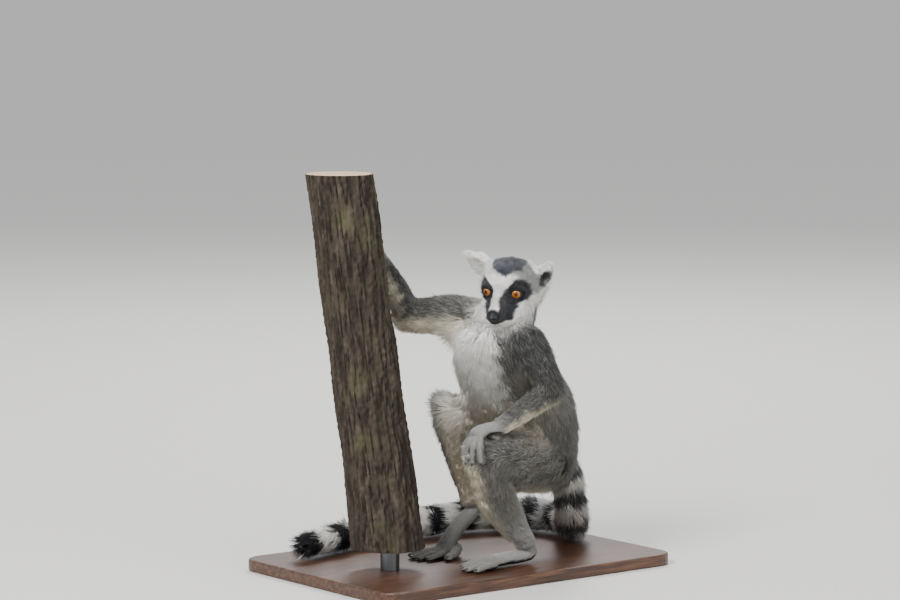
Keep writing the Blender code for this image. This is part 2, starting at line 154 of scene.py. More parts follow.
EYE_TURN = 17.0                     # degrees that each eye looks out from straight ahead
EYE_OPENING = (45.0, 30.0, 38.0)    # the lids' opening, in degrees: aside, above and below
LID_THICKNESS = 1.1
IRIS_EDGE = 41.5                    # degrees from the pupil's middle to the iris's dark rim
PUPIL_EDGE = 11.75
CORNEA_BULGE = 0.07
EYE_COVER = 2.6                     # how far the closed skin lies over each eyeball
EYE_HOLE = 2.6                      # and how far under its surface the lids' opening reaches
MUZZLE_DROP = 2.2                   # how far the nose hangs below the head's own shape
SKIN_VOXEL = 1.3
SKIN_FACES = 108000                 # before the face is made finer
FATTEN = 0.45                       # how far each part is grown, to close the cuts between them
FACE_REACH = 85.0                   # from the middle of the skull to the end of the face
FINER = ((30.0, 14.0), (58.0, 10.5))    # ahead of this, or this near an eye, faces are halved
KNUCKLES = ((0.42, 0.09, 0.13), (0.74, 0.07, 0.11), (0.97, 0.08, 0.14))  # place, breadth, swell
CLEARANCE = 0.35                    # left between the animal and the trunk or the base

rng = np.random.default_rng(SEED)


# ------------ numbers
def unit(vectors):
    return vectors / np.maximum(np.linalg.norm(vectors, axis=-1, keepdims=True), 1e-9)


def step(low, high, value):
    """0 below low, 1 above high and smooth between; low may be the larger."""
    t = np.clip((value - low) / (high - low), 0.0, 1.0)
    return t * t * (3.0 - 2.0 * t)


def mix(a, b, share):
    return a + (b - a) * np.asarray(share)[..., None]


def ripple(points, wavelength, seed):
    """Smooth wavering between about -1 and 1, of one wavelength in mm."""
    local = np.random.default_rng(seed)
    total = np.zeros(len(points))
    for _ in range(5):
        way = unit(local.normal(size=3)) * (2 * math.pi / (wavelength * local.uniform(0.7, 1.5)))
        total += np.sin(points @ way + local.uniform(0, 2 * math.pi))
    return total / 2.6


def hex_colour(code):
    """An sRGB hex code as linear red, green and blue."""
    parts = [int(code[k:k + 2], 16) / 255 for k in (1, 3, 5)]
    return np.array([p / 12.92 if p <= 0.04045 else ((p + 0.055) / 1.055) ** 2.4 for p in parts])


def smooth_line(stations, per_span=6):
    """Even steps on a Catmull-Rom curve through the stations."""
    spots = np.array(stations, float)
    padded = np.vstack([spots[:1], spots, spots[-1:]])
    steps = np.arange(per_span)[:, None] / per_span
    spans = []
    for before, start, end, after in zip(padded, padded[1:], padded[2:], padded[3:]):
        spans.append(0.5 * (
            2 * start + (end - before) * steps
            + (2 * before - 5 * start + 4 * end - after) * steps ** 2
            + (3 * start - before - 3 * end + after) * steps ** 3
        ))
    return np.vstack([*spans, spots[-1:]])


def follow(points, line):
    """For each point: the run along the line, the nearest place on it and its heading there."""
    spans = np.diff(line, axis=0)
    lengths = np.linalg.norm(spans, axis=1)
    runs = np.concatenate([[0.0], np.cumsum(lengths)])
    headings = unit(np.vstack([spans[:1], spans[1:] + spans[:-1], spans[-1:]]))
    nearest = np.full(len(points), np.inf)
    run = np.zeros(len(points))
    place = np.zeros_like(points)
    heading = np.zeros_like(points)
    for k, span in enumerate(spans):
        share = np.clip(((points - line[k]) @ span) / lengths[k] ** 2, 0.0, 1.0)
        spot = line[k] + share[:, None] * span
        gap = np.linalg.norm(points - spot, axis=1)
        closer = gap < nearest
        nearest[closer] = gap[closer]
        run[closer] = (runs[k] + share * lengths[k])[closer]
        place[closer] = spot[closer]
        heading[closer] = mix(headings[k], headings[k + 1], share)[closer]
    return run, place, unit(heading)


# ------------ frames
def to_body(metres):
    return (np.asarray(metres, float) - BODY_ORIGIN) / MM


def from_body(points):
    return np.asarray(points, float) * MM + BODY_ORIGIN


def head_axes():
    forward = unit(HEAD_FORWARD)
    up = unit(np.cross(forward, HEAD_LEFT))
    return np.array([forward, np.cross(up, forward), up])


HEAD_AXES = head_axes()


def to_head(points):
    return (points - SKULL_MIDDLE) @ HEAD_AXES.T


def from_head(points):
    return np.asarray(points, float) @ HEAD_AXES + SKULL_MIDDLE


def middle_line(node):
    """The node's middle line in the body frame, in fine steps."""
    if node.startswith("tail"):
        return TAIL
    if node == "head" or node.startswith("ear"):
        return smooth_line(from_head(LINES[node]))
    return smooth_line(LINES[node])


TAIL = smooth_line(TAIL_LINE)
FLESH = sorted(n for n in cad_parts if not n.startswith(("eye", "perch", "stand")))
AXES = {node: middle_line(node) for node in FLESH}
KIND = {node: node.rsplit("_", 1)[0] if "_" in node else node for node in FLESH}


def eye_centre(side):
    low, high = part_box(f"eye_{side}")
    return to_body(0.5 * (np.array(low) + np.array(high)))


def eye_radius(side):
    low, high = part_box(f"eye_{side}")
    return 0.5 * max(high - low) / MM


def eye_axis(side):
    """The way that an eye looks, in the body frame."""
    turn = math.radians(EYE_TURN) * (1 if side == "left" else -1)
    return np.array([math.cos(turn), math.sin(turn), 0.04]) @ HEAD_AXES


# ------------ meshes
def new_object(name, mesh):
    obj = bpy.data.objects.new(name, mesh)
    bpy.context.scene.collection.objects.link(obj)
    return obj


def finished(name, bm, smooth=True):
    mesh = bpy.data.meshes.new(name)
    bm.to_mesh(mesh)
    bm.free()
    if smooth:
        mesh.shade_smooth()
    return new_object(name, mesh)


def read_rows(items, key, width, kind=float):
    """A property of each item, as rows of the given width."""
    flat = np.zeros(len(items) * width, kind)
    items.foreach_get(key, flat)
    return flat.reshape(-1, width)


def read_points(mesh):
    return read_rows(mesh.vertices, "co", 3)


def read_normals(mesh):
    return read_rows(mesh.vertex_normals, "vector", 3, np.float32).astype(float)


def write_points(mesh, points):
    mesh.vertices.foreach_set("co", np.ascontiguousarray(points, np.float32).ravel())
    mesh.update()


class Web:
    """A mesh's edges, to even out values from vertex to vertex."""

    def __init__(self, mesh):
        self.a, self.b = read_rows(mesh.edges, "vertices", 2, int).T
        self.size = len(mesh.vertices)
        self.count = np.bincount(self.a, minlength=self.size)
        self.count = np.maximum(self.count + np.bincount(self.b, minlength=self.size), 1)

    def even(self, values, rounds, pull=0.5):
        values = values.astype(float)
        columns = values.reshape(self.size, -1)
        for _ in range(rounds):
            mean = np.stack([
                np.bincount(self.a, column[self.b], self.size)
                + np.bincount(self.b, column[self.a], self.size)
                for column in columns.T
            ], axis=1) / self.count[:, None]
            columns = columns + pull * (mean - columns)
        return columns.reshape(values.shape)


# ------------ hands and feet
def perch_spot(turn, height, lift):
    """A place round the trunk: degrees from +X, a height and how far off the bark."""
    middle = PERCH_FOOT + height * PERCH_LEAN
    a = math.radians(turn)
    reach = PERCH_RADIUS + lift
    return (middle[0] + reach * math.cos(a), middle[1] + reach * math.sin(a), height)


def knee_spot(turn, rise, lift):
    """A place round the left knee: turned to the left from straight ahead, then raised."""
    a, b = math.radians(turn), math.radians(rise)
    way = np.array([math.cos(b) * math.sin(a), -math.cos(b) * math.cos(a), math.sin(b)])
    return tuple(KNEE + (KNEE_RADIUS + lift) * way)


def right_hand():
    """The paths of the palm, four fingers and thumb that clasp the trunk."""
    palm = [
        (*perch_spot(110, 358, 12.5), 8.2), (*perch_spot(119, 370, 9.5), 8.0),
        (*perch_spot(130, 381, 7.0), 8.5, 7.5, 12), (*perch_spot(140, 389, 5.5), 7, 6, 12.5),
    ]
    digits = [
        [(*perch_spot(139, start, 4.8), 4.3), (*perch_spot(161, middle, 4.4), 3.3),
         (*perch_spot(183, end, 3.5), 2.8)]
        for start, middle, end in ((376, 371, 366), (384, 386.5, 385), (393, 401.5, 404),
                                   (399, 413, 421))
    ]
    thumb = [(*perch_spot(123, 388, 5), 4.6), (*perch_spot(115, 402, 4.4), 3.5),
             (*perch_spot(113, 414, 3.8), 3.0)]
    return palm, [*digits, thumb]


def left_hand():
    """The paths of the palm, four fingers and thumb that lie over the knee."""
    palm = [
        (61, -104, 168, 8.2), (59, -110, 165.5, 8, 8.5, 7),
        (*knee_spot(0, 84, 8.6), 10.5, 11, 6), (*knee_spot(0, 64, 8.0), 12, 7, 6),
    ]
    digits = [
        [(*knee_spot(0.8 * turn, 56, 7.0), 4.3), (*knee_spot(1.2 * turn, 26, 5.7), 3.3),
         (*knee_spot(1.35 * turn, end, 5.2), 2.8)]
        for turn, end in ((-23, -4), (-7, -10), (10, -10), (27, -6))
    ]
    thumb = [(*knee_spot(-60, 66, 7), 4.4), (*knee_spot(-76, 44, 6), 3.5),
             (*knee_spot(-80, 24, 5.4), 3.0)]
    return palm, [*digits, thumb]


def foot(side):
    """The paths of the sole, four toes and great toe; the right heel is raised."""
    y = -116
    if side == "left":
        x, inward = 53, -1
        sole = [(50, -62, 27, 8), (50, -55, 13, 8.5), (50.5, -72, 9, 8.5, 10, 7.5),
                (51, -90, 9, 10, 10, 7.5), (x, y, 7.5, 13, 11, 6)]
    else:
        x, inward = -41, 1
        sole = [(-38, -72, 64, 8), (-38, -67, 54, 8.5), (-39, -92, 33, 9.2),
                (x, y + 6, 10, 11.5, 10, 7.5), (x, y, 7.5, 12, 11, 6)]
    toes = []
    for place, reach in ((-1.5, 27), (-0.5, 33), (0.5, 35), (1.5, 30)):
        root = x - inward * 7.2 * place
        toes.append([
            (root, y - 2, 6.6, 4.4),
            (root - inward * 2.0 * place, y - 0.55 * reach, 6.0, 3.5),
            (root - inward * 3.0 * place, y - reach, 3.8, 3.1),
        ])
    great = [(x + inward * 4, y + 22, 9.5, 6.5), (x + inward * 18, y + 8, 6.6, 5.2),
             (x + inward * 27, y - 8, 4.4, 4.1)]
    return sole, [*toes, great]


def add_balls(bm, stations, knuckles=False):
    """Balls set close together along the smooth path through the stations."""
    rows = [(*s, s[3], s[3]) if len(s) == 4 else s for s in stations]
    path = smooth_line(rows, 12)
    for k, (x, y, z, *radii) in enumerate(path):
        share = k / (len(path) - 1)
        swell = 1.0
        for at, breadth, rise in KNUCKLES if knuckles else ():
            swell += rise * math.exp(-((share - at) / breadth) ** 2)
        place = Matrix.Translation(from_body((x, y, z)))
        size = Matrix.Diagonal((*(r * swell * MM for r in radii), 1.0))
        bmesh.ops.create_icosphere(bm, subdivisions=2, radius=1.0, matrix=place @ size)


PAW_CHAINS = {"hand_left": left_hand(), "hand_right": right_hand(),
              "foot_left": foot("left"), "foot_right": foot("right")}


def keep_clear(points):
    """Move any place that is in the trunk or the base to just outside it."""
    points = points.copy()
    points[:, 2] = np.maximum(points[:, 2], CLEARANCE)
    middle = PERCH_FOOT + points[:, 2:3] * PERCH_LEAN
    out = points[:, :2] - middle
    reach = np.linalg.norm(out, axis=1, keepdims=True)
    swell = PERCH_SWELL * np.clip(1 - points[:, 2:3] / PERCH_TOP, 0, 1) ** 3
    least = PERCH_RADIUS + swell + CLEARANCE
    near = (reach < least) & (points[:, 2:3] > PERCH_BOTTOM) & (points[:, 2:3] < PERCH_TOP)
    points[:, :2] = np.where(near, middle + out * least / reach, points[:, :2])
    return points


# ------------ skin
def fuse_flesh():
    """All flesh nodes, closed over the eyes, as one mesh at the tips of the coat."""
    whole = bmesh.new()
    for palm, digits in PAW_CHAINS.values():
        add_balls(whole, palm)
        for digit in digits:
            add_balls(whole, digit, knuckles=True)
    for node in (n for n in FLESH if KIND[n] not in PAWS):
        piece = bmesh.new()
        piece.from_mesh(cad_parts[node].data)
        bmesh.ops.remove_doubles(piece, verts=piece.verts, dist=1e-6)
        piece.normal_update()
        for vert in piece.verts:
            vert.co += vert.normal * FATTEN * MM
        loose = bpy.data.meshes.new(node)
        piece.to_mesh(loose)
        piece.free()
        whole.from_mesh(loose)
        bpy.data.meshes.remove(loose)
    for side in ("left", "right"):
        bmesh.ops.create_icosphere(
            whole, subdivisions=4, radius=(eye_radius(side) + EYE_COVER) * MM,
            matrix=Matrix.Translation(from_body(eye_centre(side))),
        )
    rough = finished("rough", whole)
    blend = rough.modifiers.new("blend", "REMESH")
    blend.mode = "VOXEL"
    blend.voxel_size = SKIN_VOXEL * MM
    rough.data = applied(rough)
    rough.modifiers.clear()
    points = to_body(read_points(rough.data))
    plain = rough.vertex_groups.new(name="plain")
    plain.add(np.flatnonzero(~near_detail(points)).tolist(), 1.0, "REPLACE")
    thin = rough.modifiers.new("thin", "DECIMATE")
    thin.vertex_group = "plain"
    thin.ratio = SKIN_FACES / (2 * len(rough.data.polygons))
    mesh = applied(rough)
    bpy.data.objects.remove(rough)
    return mesh


def applied(obj):
    graph = bpy.context.evaluated_depsgraph_get()
    return bpy.data.meshes.new_from_object(obj.evaluated_get(graph))


def near_detail(points):
    """Whether each place is on the face, an ear, a hand or a foot."""
    reach = np.linalg.norm(points - SKULL_MIDDLE, axis=1)
    detail = (reach < FACE_REACH) & (to_head(points)[:, 0] > 5)
    for node in FLESH:
        if KIND[node] in (*PAWS, "ear"):
            low, high = (to_body(corner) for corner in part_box(node))
            detail |= ((points > low - 2) & (points < high + 2)).all(axis=1)
    return detail


def refine_face(mesh):
    """Finer faces over the face, and finer still round the eyes, nose and mouth."""
    bm = bmesh.new()
    bm.from_mesh(mesh)
    eyes = [eye_centre(side) for side in ("left", "right")]
    for reach_back, eye_reach in FINER:
        near = []
        for face in bm.faces:
            spot = to_body(face.calc_center_median())
            if np.linalg.norm(spot - SKULL_MIDDLE) > FACE_REACH + 5:
                continue
            at_eye = min(np.linalg.norm(spot - eye) for eye in eyes) < eye_reach
            if at_eye or to_head(spot)[0] > reach_back:
                near.append(face)
        edges = list({edge for face in near for edge in face.edges})
        bmesh.ops.subdivide_edges(bm, edges=edges, cuts=1, use_grid_fill=True)
    bmesh.ops.triangulate(bm, faces=bm.faces)
    bm.to_mesh(mesh)
    bm.free()


def nearest_node(points):
    """The index in FLESH of the CAD node that each point, in metres, lies nearest to."""
    verts, faces, owner = [], [], []
    for index, node in enumerate(FLESH):
        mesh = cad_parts[node].data
        start = len(verts)
        verts.extend(v.co.copy() for v in mesh.vertices)
        faces.extend([start + v for v in p.vertices] for p in mesh.polygons)
        owner.extend([index] * len(mesh.polygons))
    tree = BVHTree.FromPolygons(verts, faces)
    return np.array([owner[tree.find_nearest(Vector(p))[2]] for p in points])


def head_depth(h):
    """How deep the coat is on the head, in mm."""
    depth = 0.4 + 1.2 * step(60, 44, h[:, 0]) + 1.3 * step(40, 26, h[:, 0])
    depth += 2.2 * step(22, 2, h[:, 0]) * step(4, 20, h[:, 2])
    depth += 4.5 * step(30, 4, h[:, 0]) * step(2, -14, h[:, 2])
    depth += 2.0 * step(0, -24, h[:, 0])
    return depth


class Skin:
    """The skin's mesh with what the coat needs to know at each of its vertices."""

    def __init__(self):
        mesh = fuse_flesh()
        refine_face(mesh)
        self.web = Web(mesh)
        outer = to_body(read_points(mesh))
        label = nearest_node(from_body(outer))
        share = np.zeros((len(outer), len(FLESH)))
        share[np.arange(len(outer)), label] = 1.0
        self.share = self.web.even(share, 30, 0.7)
        self.give_jaw_to_head(outer)
        outer = mix(self.web.even(outer, 4), outer, self.of_kind(*PAWS))
        write_points(mesh, from_body(outer))
        normals = read_normals(mesh)
        self.depth = self.web.even(self.coat_depth(outer), 6)
        sink = self.depth * (1 - self.of_kind(*PAWS))
        inner = outer.copy()
        for _ in range(4):
            inner -= normals * (sink / 4)[:, None]
            inner = mix(inner, self.web.even(inner, 2), step(0.5, 3.0, sink))
            write_points(mesh, from_body(inner))
            normals = read_normals(mesh)
        inner = shape_face(inner, self.of_kind("head"))
        inner = keep_clear(open_lids(inner))
        write_points(mesh, from_body(inner))
        self.points = inner
        self.normals = read_normals(mesh)
        self.mesh = mesh
        self.faces = read_rows(mesh.polygons, "vertices", 3, int)
        self.flow = self.lie_of_coat()

    def give_jaw_to_head(self, points):
        """The jaw lies nearest to the neck's solid, but its coat is the face's."""
        h = to_head(points)
        jaw = step(18, 26, h[:, 0]) * step(-42, -33, h[:, 2])
        neck, head = FLESH.index("neck"), FLESH.index("head")
        moved = self.share[:, neck] * jaw
        self.share[:, neck] -= moved
        self.share[:, head] += moved

    def of_kind(self, *kinds):
        """How much of each vertex belongs to parts of these kinds."""
        own = [i for i, node in enumerate(FLESH) if KIND[node] in kinds]
        return self.share[:, own].sum(axis=1) / self.share.sum(axis=1)

    def coat_depth(self, points):
        depth = np.zeros(len(points))
        h = to_head(points)
        for index, node in enumerate(FLESH):
            own = np.full(len(points), COATS[KIND[node]][0])
            if node == "head":
                own = head_depth(h)
            elif KIND[node] in ("shank", "forearm"):
                run = follow(points, AXES[node])[0]
                own *= 1 - 0.55 * step(0.55, 0.98, run / run.max())
            depth += self.share[:, index] * own
        return depth / self.share.sum(axis=1)

    def lie_of_coat(self):
        """The way that the coat lies along the skin: back from the nose, down the nape."""
        flow = np.zeros_like(self.points)
        nose = from_head(NOSE_TIP)
        behind = step(2, -22, to_head(self.points)[:, 0])
        for index, node in enumerate(FLESH):
            if node == "head":
                way = mix(unit(self.points - nose), -HEAD_AXES[2], behind)
            else:
                way = follow(self.points, AXES[node])[2]
            flow += self.share[:, index:index + 1] * way
        flow = self.web.even(flow, 4)
        flow -= (flow * self.normals).sum(axis=1, keepdims=True) * self.normals
        return unit(self.web.even(unit(flow), 3))


def shape_face(points, head_share):
    """Nostrils, the nose pad's groove and the mouth's line, on a muzzle that hangs lower towards the
    nose.
    """
    h = to_head(points)
    across = np.abs(h[:, 1])
    moved = h.copy()
    moved[:, 2] -= MUZZLE_DROP * step(34, 62, h[:, 0])
    moved[:, 0] += 0.8 * step(45, 62, h[:, 0])
    nostril = np.exp(-(((across - 3.3) / 1.5) ** 2 + ((h[:, 2] + 19.6) / 1.3) ** 2))
    nostril *= step(62, 65, h[:, 0])
    moved[:, 0] -= 2.6 * nostril
    groove = np.exp(-(h[:, 1] / 0.6) ** 2) * step(62, 65, h[:, 0]) * step(-18, -20, h[:, 2])
    moved[:, 0] -= 0.8 * groove
    lip = -25.4 + 0.02 * (60 - h[:, 0]) + 2.0 * step(34, 24, h[:, 0])
    mouth = np.exp(-((h[:, 2] - lip) / 0.75) ** 2)
    moved[:, 1] -= np.sign(h[:, 1]) * 1.1 * mouth * step(27, 33, h[:, 0]) * step(0.5, 3.0, across)
    moved[:, 0] -= 1.2 * mouth * step(56, 60, h[:, 0])
    return mix(points, from_head(moved), step(0.2, 0.6, head_share))


def lid_angles(points, side):
    """How far each point is from the middle of the lids' opening, in shares of the way to its
    edge, and how far it is from the eyeball's centre, in mm.
    """
    centre = eye_centre(side)
    axis = eye_axis(side)
    up = unit(HEAD_AXES[2] - (HEAD_AXES[2] @ axis) * axis)
    across = np.cross(up, axis)
    ray = unit(points - centre)
    forward = ray @ axis
    sideways = np.degrees(np.arctan2(ray @ across, forward))
    upward = np.degrees(np.arctan2(ray @ up, forward))
    inward = sideways * (-1 if side == "left" else 1)
    aside, above, below = EYE_OPENING
    wide = aside + 8.0 * step(10, 45, inward)
    tall = np.where(upward > 0, above, below) * (1 - 0.25 * step(25, 50, inward))
    edge = np.hypot(sideways / wide, upward / tall)
    return np.where(forward > 0, edge, 9.0), np.linalg.norm(points - centre, axis=1)


def open_lids(points):
    """Wrap the skin over each eyeball and open the lids, with a rounded rim."""
    for side in ("left", "right"):
        edge, reach = lid_angles(points, side)
        radius = eye_radius(side)
        lid = radius + LID_THICKNESS * step(1.0, 1.22, edge) + 0.25
        inside = radius - EYE_HOLE
        wanted = inside + (lid - inside) * step(0.90, 1.02, edge)
        near = step(1.95, 1.35, edge) * step(radius + 7, radius + 3, reach)
        centre = eye_centre(side)
        wanted_points = centre + unit(points - centre) * wanted[:, None]
        points = mix(points, wanted_points, near)
    return points


# ------------ colours
WHITE = hex_colour("#f4f1ea")
CREAM = hex_colour("#e6dcc4")
# The three greys below are darker than the coat's own greys: painted shade over the whole grey coat,
# the shoulder grey most of all.
BACK_GREY_AND_SHADE = hex_colour("#595753")
FLANK_GREY_AND_SHADE = hex_colour("#716e65")
DARK_GREY_AND_SHADE = hex_colour("#3d3d3e")
PALE_GREY = hex_colour("#bdbdba")
SLATE = hex_colour("#2d323c")
SNOUT = hex_colour("#2c2f37")
BLACK = hex_colour("#17161a")
EAR_INSIDE = hex_colour("#2a2526")
LEATHER = hex_colour("#15171b")


def side_share(points, line, way):
    """How squarely each point's side of the line looks the given way, from -1 to 1."""
    _, place, heading = follow(points, line)
    out = points - place
    out -= (out * heading).sum(axis=1, keepdims=True) * heading
    return unit(out) @ unit(np.array(way, float))


def trunk_colour(points, normals):
    """Brown-grey back, paler flanks, dark shoulders and a cream to white front; the greys, and the
    shoulders most, are darkened partly as painted shade.
    """
    front = side_share(points, AXES["torso"], (-0.30, -0.88, -0.36))
    front = front + 0.08 * ripple(points, 22, 5) + 0.45 * step(185, 150, points[:, 2])
    colour = mix(BACK_GREY_AND_SHADE, FLANK_GREY_AND_SHADE, step(-0.5, 0.3, front))
    # dark shoulders: the coat's own darker grey there, with painted shade
    dark_shoulder_and_shade = step(190, 240, points[:, 2]) * step(0.4, 0.0, front)
    colour = mix(colour, DARK_GREY_AND_SHADE, 0.85 * dark_shoulder_and_shade)
    pale = mix(CREAM, WHITE, step(175, 215, points[:, 2]))
    return mix(colour, pale, step(0.26, 0.46, front))


def neck_colour(points, normals):
    """Dark grey nape, darkened partly as painted shade, and a white throat."""
    front = side_share(points, AXES["neck"], (-0.10, -0.99, -0.1)) + 0.10 * ripple(points, 18, 6)
    front += 0.75 * step(276, 290, points[:, 2])
    colour = mix(DARK_GREY_AND_SHADE, BACK_GREY_AND_SHADE, step(0.0, -0.5, front))
    return mix(colour, WHITE, step(0.15, 0.40, front))


def limb_colour(node):
    """Grey outside, paler towards the hand or foot, with a cream inner side; the left upper arm and
    the right forearm are darker, and the right knee paler, partly as painted shade and painted
    light.
    """
    kind, side = node.rsplit("_", 1)

    def colour(points, normals):
        inner = side_share(points, AXES[node], PALE_SIDE[node]) + 0.06 * ripple(points, 16, 7)
        run = follow(points, AXES[node])[0]
        outer = np.tile(mix(BACK_GREY_AND_SHADE, FLANK_GREY_AND_SHADE, 0.5), (len(points), 1))
        if kind == "upper_arm":
            # the left upper arm gets more dark grey than the right: painted shade
            outer = mix(outer, DARK_GREY_AND_SHADE, 0.8 if side == "left" else 0.35)
        elif kind == "forearm":
            # the right forearm gets more dark grey than the left: painted shade
            outer = mix(outer, DARK_GREY_AND_SHADE, 0.3 if side == "left" else 0.6)
            outer = mix(outer, PALE_GREY, 0.7 * step(55, 95, run))
        elif kind == "shank":
            outer = mix(outer, PALE_GREY, 0.75 * step(40, 105, run))
        else:
            above = side_share(points, AXES[node], (0.3, 0.0, 1.0))
            outer = mix(outer, DARK_GREY_AND_SHADE, 0.45 * step(-0.1, 0.7, above))
            outer = mix(outer, CREAM, 0.45 * step(-0.55, -0.98, above))
        # the right knee painted pale grey: partly the leg's own paler fur, partly painted light
        # where the knee catches the light
        if node == "thigh_right":
            outer = mix(outer, PALE_GREY, 0.85 * step(55, 95, run))
            knee = (0.85 * step(50, 95, run))[:, None]
            return mix(outer, CREAM + (PALE_GREY - CREAM) * knee, step(0.1, 0.8, inner))
        return mix(outer, CREAM, step(0.1, 0.8, inner))
    return colour


def grip_way(node, points):
    """The way that the bare palm or sole looks, at each point."""
    if KIND[node] == "foot":
        return np.tile([0.0, 0.0, -1.0], (len(points), 1))
    if node == "hand_left":
        return unit(KNEE - points)
    middle = PERCH_FOOT + points[:, 2:3] * PERCH_LEAN
    flat = np.concatenate([middle - points[:, :2], np.zeros((len(points), 1))], axis=1)
    return unit(flat)


def bare_sole(node, points, normals):
    """Where the palm or the sole is bare: on the side that grips, off the fur's edge."""
    way = grip_way(node, points)
    under = ((points - follow(points, AXES[node])[1]) * way).sum(axis=1)
    bare = step(0.15, 0.45, (normals * way).sum(axis=1)) * step(0.5, 3.0, under)
    return bare * step(18, 12, points[:, 2]) if KIND[node] == "foot" else bare


def paw_colour(node):
    """Pale grey fur round black palms and soles."""
    def colour(points, normals):
        run = follow(points, AXES[node])[0]
        fur = mix(PALE_GREY, FLANK_GREY_AND_SHADE, 0.35 + 0.3 * step(40, 75, run))
        return mix(fur, LEATHER, bare_sole(node, points, normals))
    return colour


def ring_share(run):
    """1 in the tail's dark bands and 0 in its pale ones."""
    k = (-RING_PERIOD + np.sqrt(RING_PERIOD ** 2 + 4 * RING_GROWTH * (run - FIRST_RING))) \
        / (2 * RING_GROWTH)
    wave = np.cos(2 * math.pi * k)
    return step(-0.22, 0.22, wave)


def tail_colour(points, normals):
    """Dark and pale bands by the run along the tail, black at the tip, grey at the root."""
    run, place, _ = follow(points, TAIL)
    wavered = np.maximum(run + 1.4 * ripple(points, 12, 8), 13.0)
    colour = mix(mix(WHITE, PALE_GREY, 0.35), BLACK, ring_share(wavered))
    colour = mix(colour, BLACK, step(556, 566, wavered))
    off = np.linalg.norm(points - place, axis=1)
    return mix(BACK_GREY_AND_SHADE, colour, step(10, 18, run) * step(25, 18, off))


def ear_cup(side, points, normals):
    """How far each point lies in the hollow at the ear's root."""
    out = unit(np.array(EAR_FACES[side]) @ HEAD_AXES)
    base, tip = from_head(LINES[f"ear_{side}"])
    lower = unit(np.cross(out, tip - base))
    lower *= -np.sign(lower[2])
    gap = points - (base + 0.42 * (tip - base) + 3.5 * lower)
    gap -= (gap @ out)[:, None] * out
    gap += 0.6 * (gap @ lower)[:, None] * lower
    reach = np.linalg.norm(gap, axis=1)
    return step(0.0, 0.35, normals @ out) * step(13.5, 10.0, reach)


def ear_colour(side):
    """White fur round a dark hollow. The fur's underside is greyed as painted shade, and the left
    ear's hollow is painted darker than the right's: the ear's dark inner skin, with painted shade.
    """
    def colour(points, normals):
        # painted shade: grey on the fur's downward side
        rim = mix(WHITE, PALE_GREY, 0.25 * step(0.1, -0.6, normals @ HEAD_AXES[2]))
        # the hollow: dark inner skin, full on the left ear and faint on the right; the difference is
        # painted shade
        hollow = ear_cup(side, points, normals) * (1.0 if side == "left" else 0.3)
        # and the painted shade in front of the left ear's root
        hollow = np.maximum(hollow, shade_before_left_ear(to_head(points)))
        return mix(rim, EAR_INSIDE, hollow)
    return colour


def shade_before_left_ear(h):
    """Painted shade in front of the left ear's root, partly the ear's dark inner skin; the right
    side has none.
    """
    return step(1.15, 0.8, capsule_share(h, "shade before ear"))


def capsule_share(h, mark):
    """Distance from a slanting capsule's middle line, in shares of its radius."""
    start, end, radius_start, radius_end = FACE_MARKS[mark]
    a, b = np.array(start, float), np.array(end, float)
    t = np.clip(((h - a) @ (b - a)) / ((b - a) @ (b - a)), 0, 1)
    gap = np.linalg.norm(h - (a + t[:, None] * (b - a)), axis=1)
    return gap / (radius_start + (radius_end - radius_start) * t)


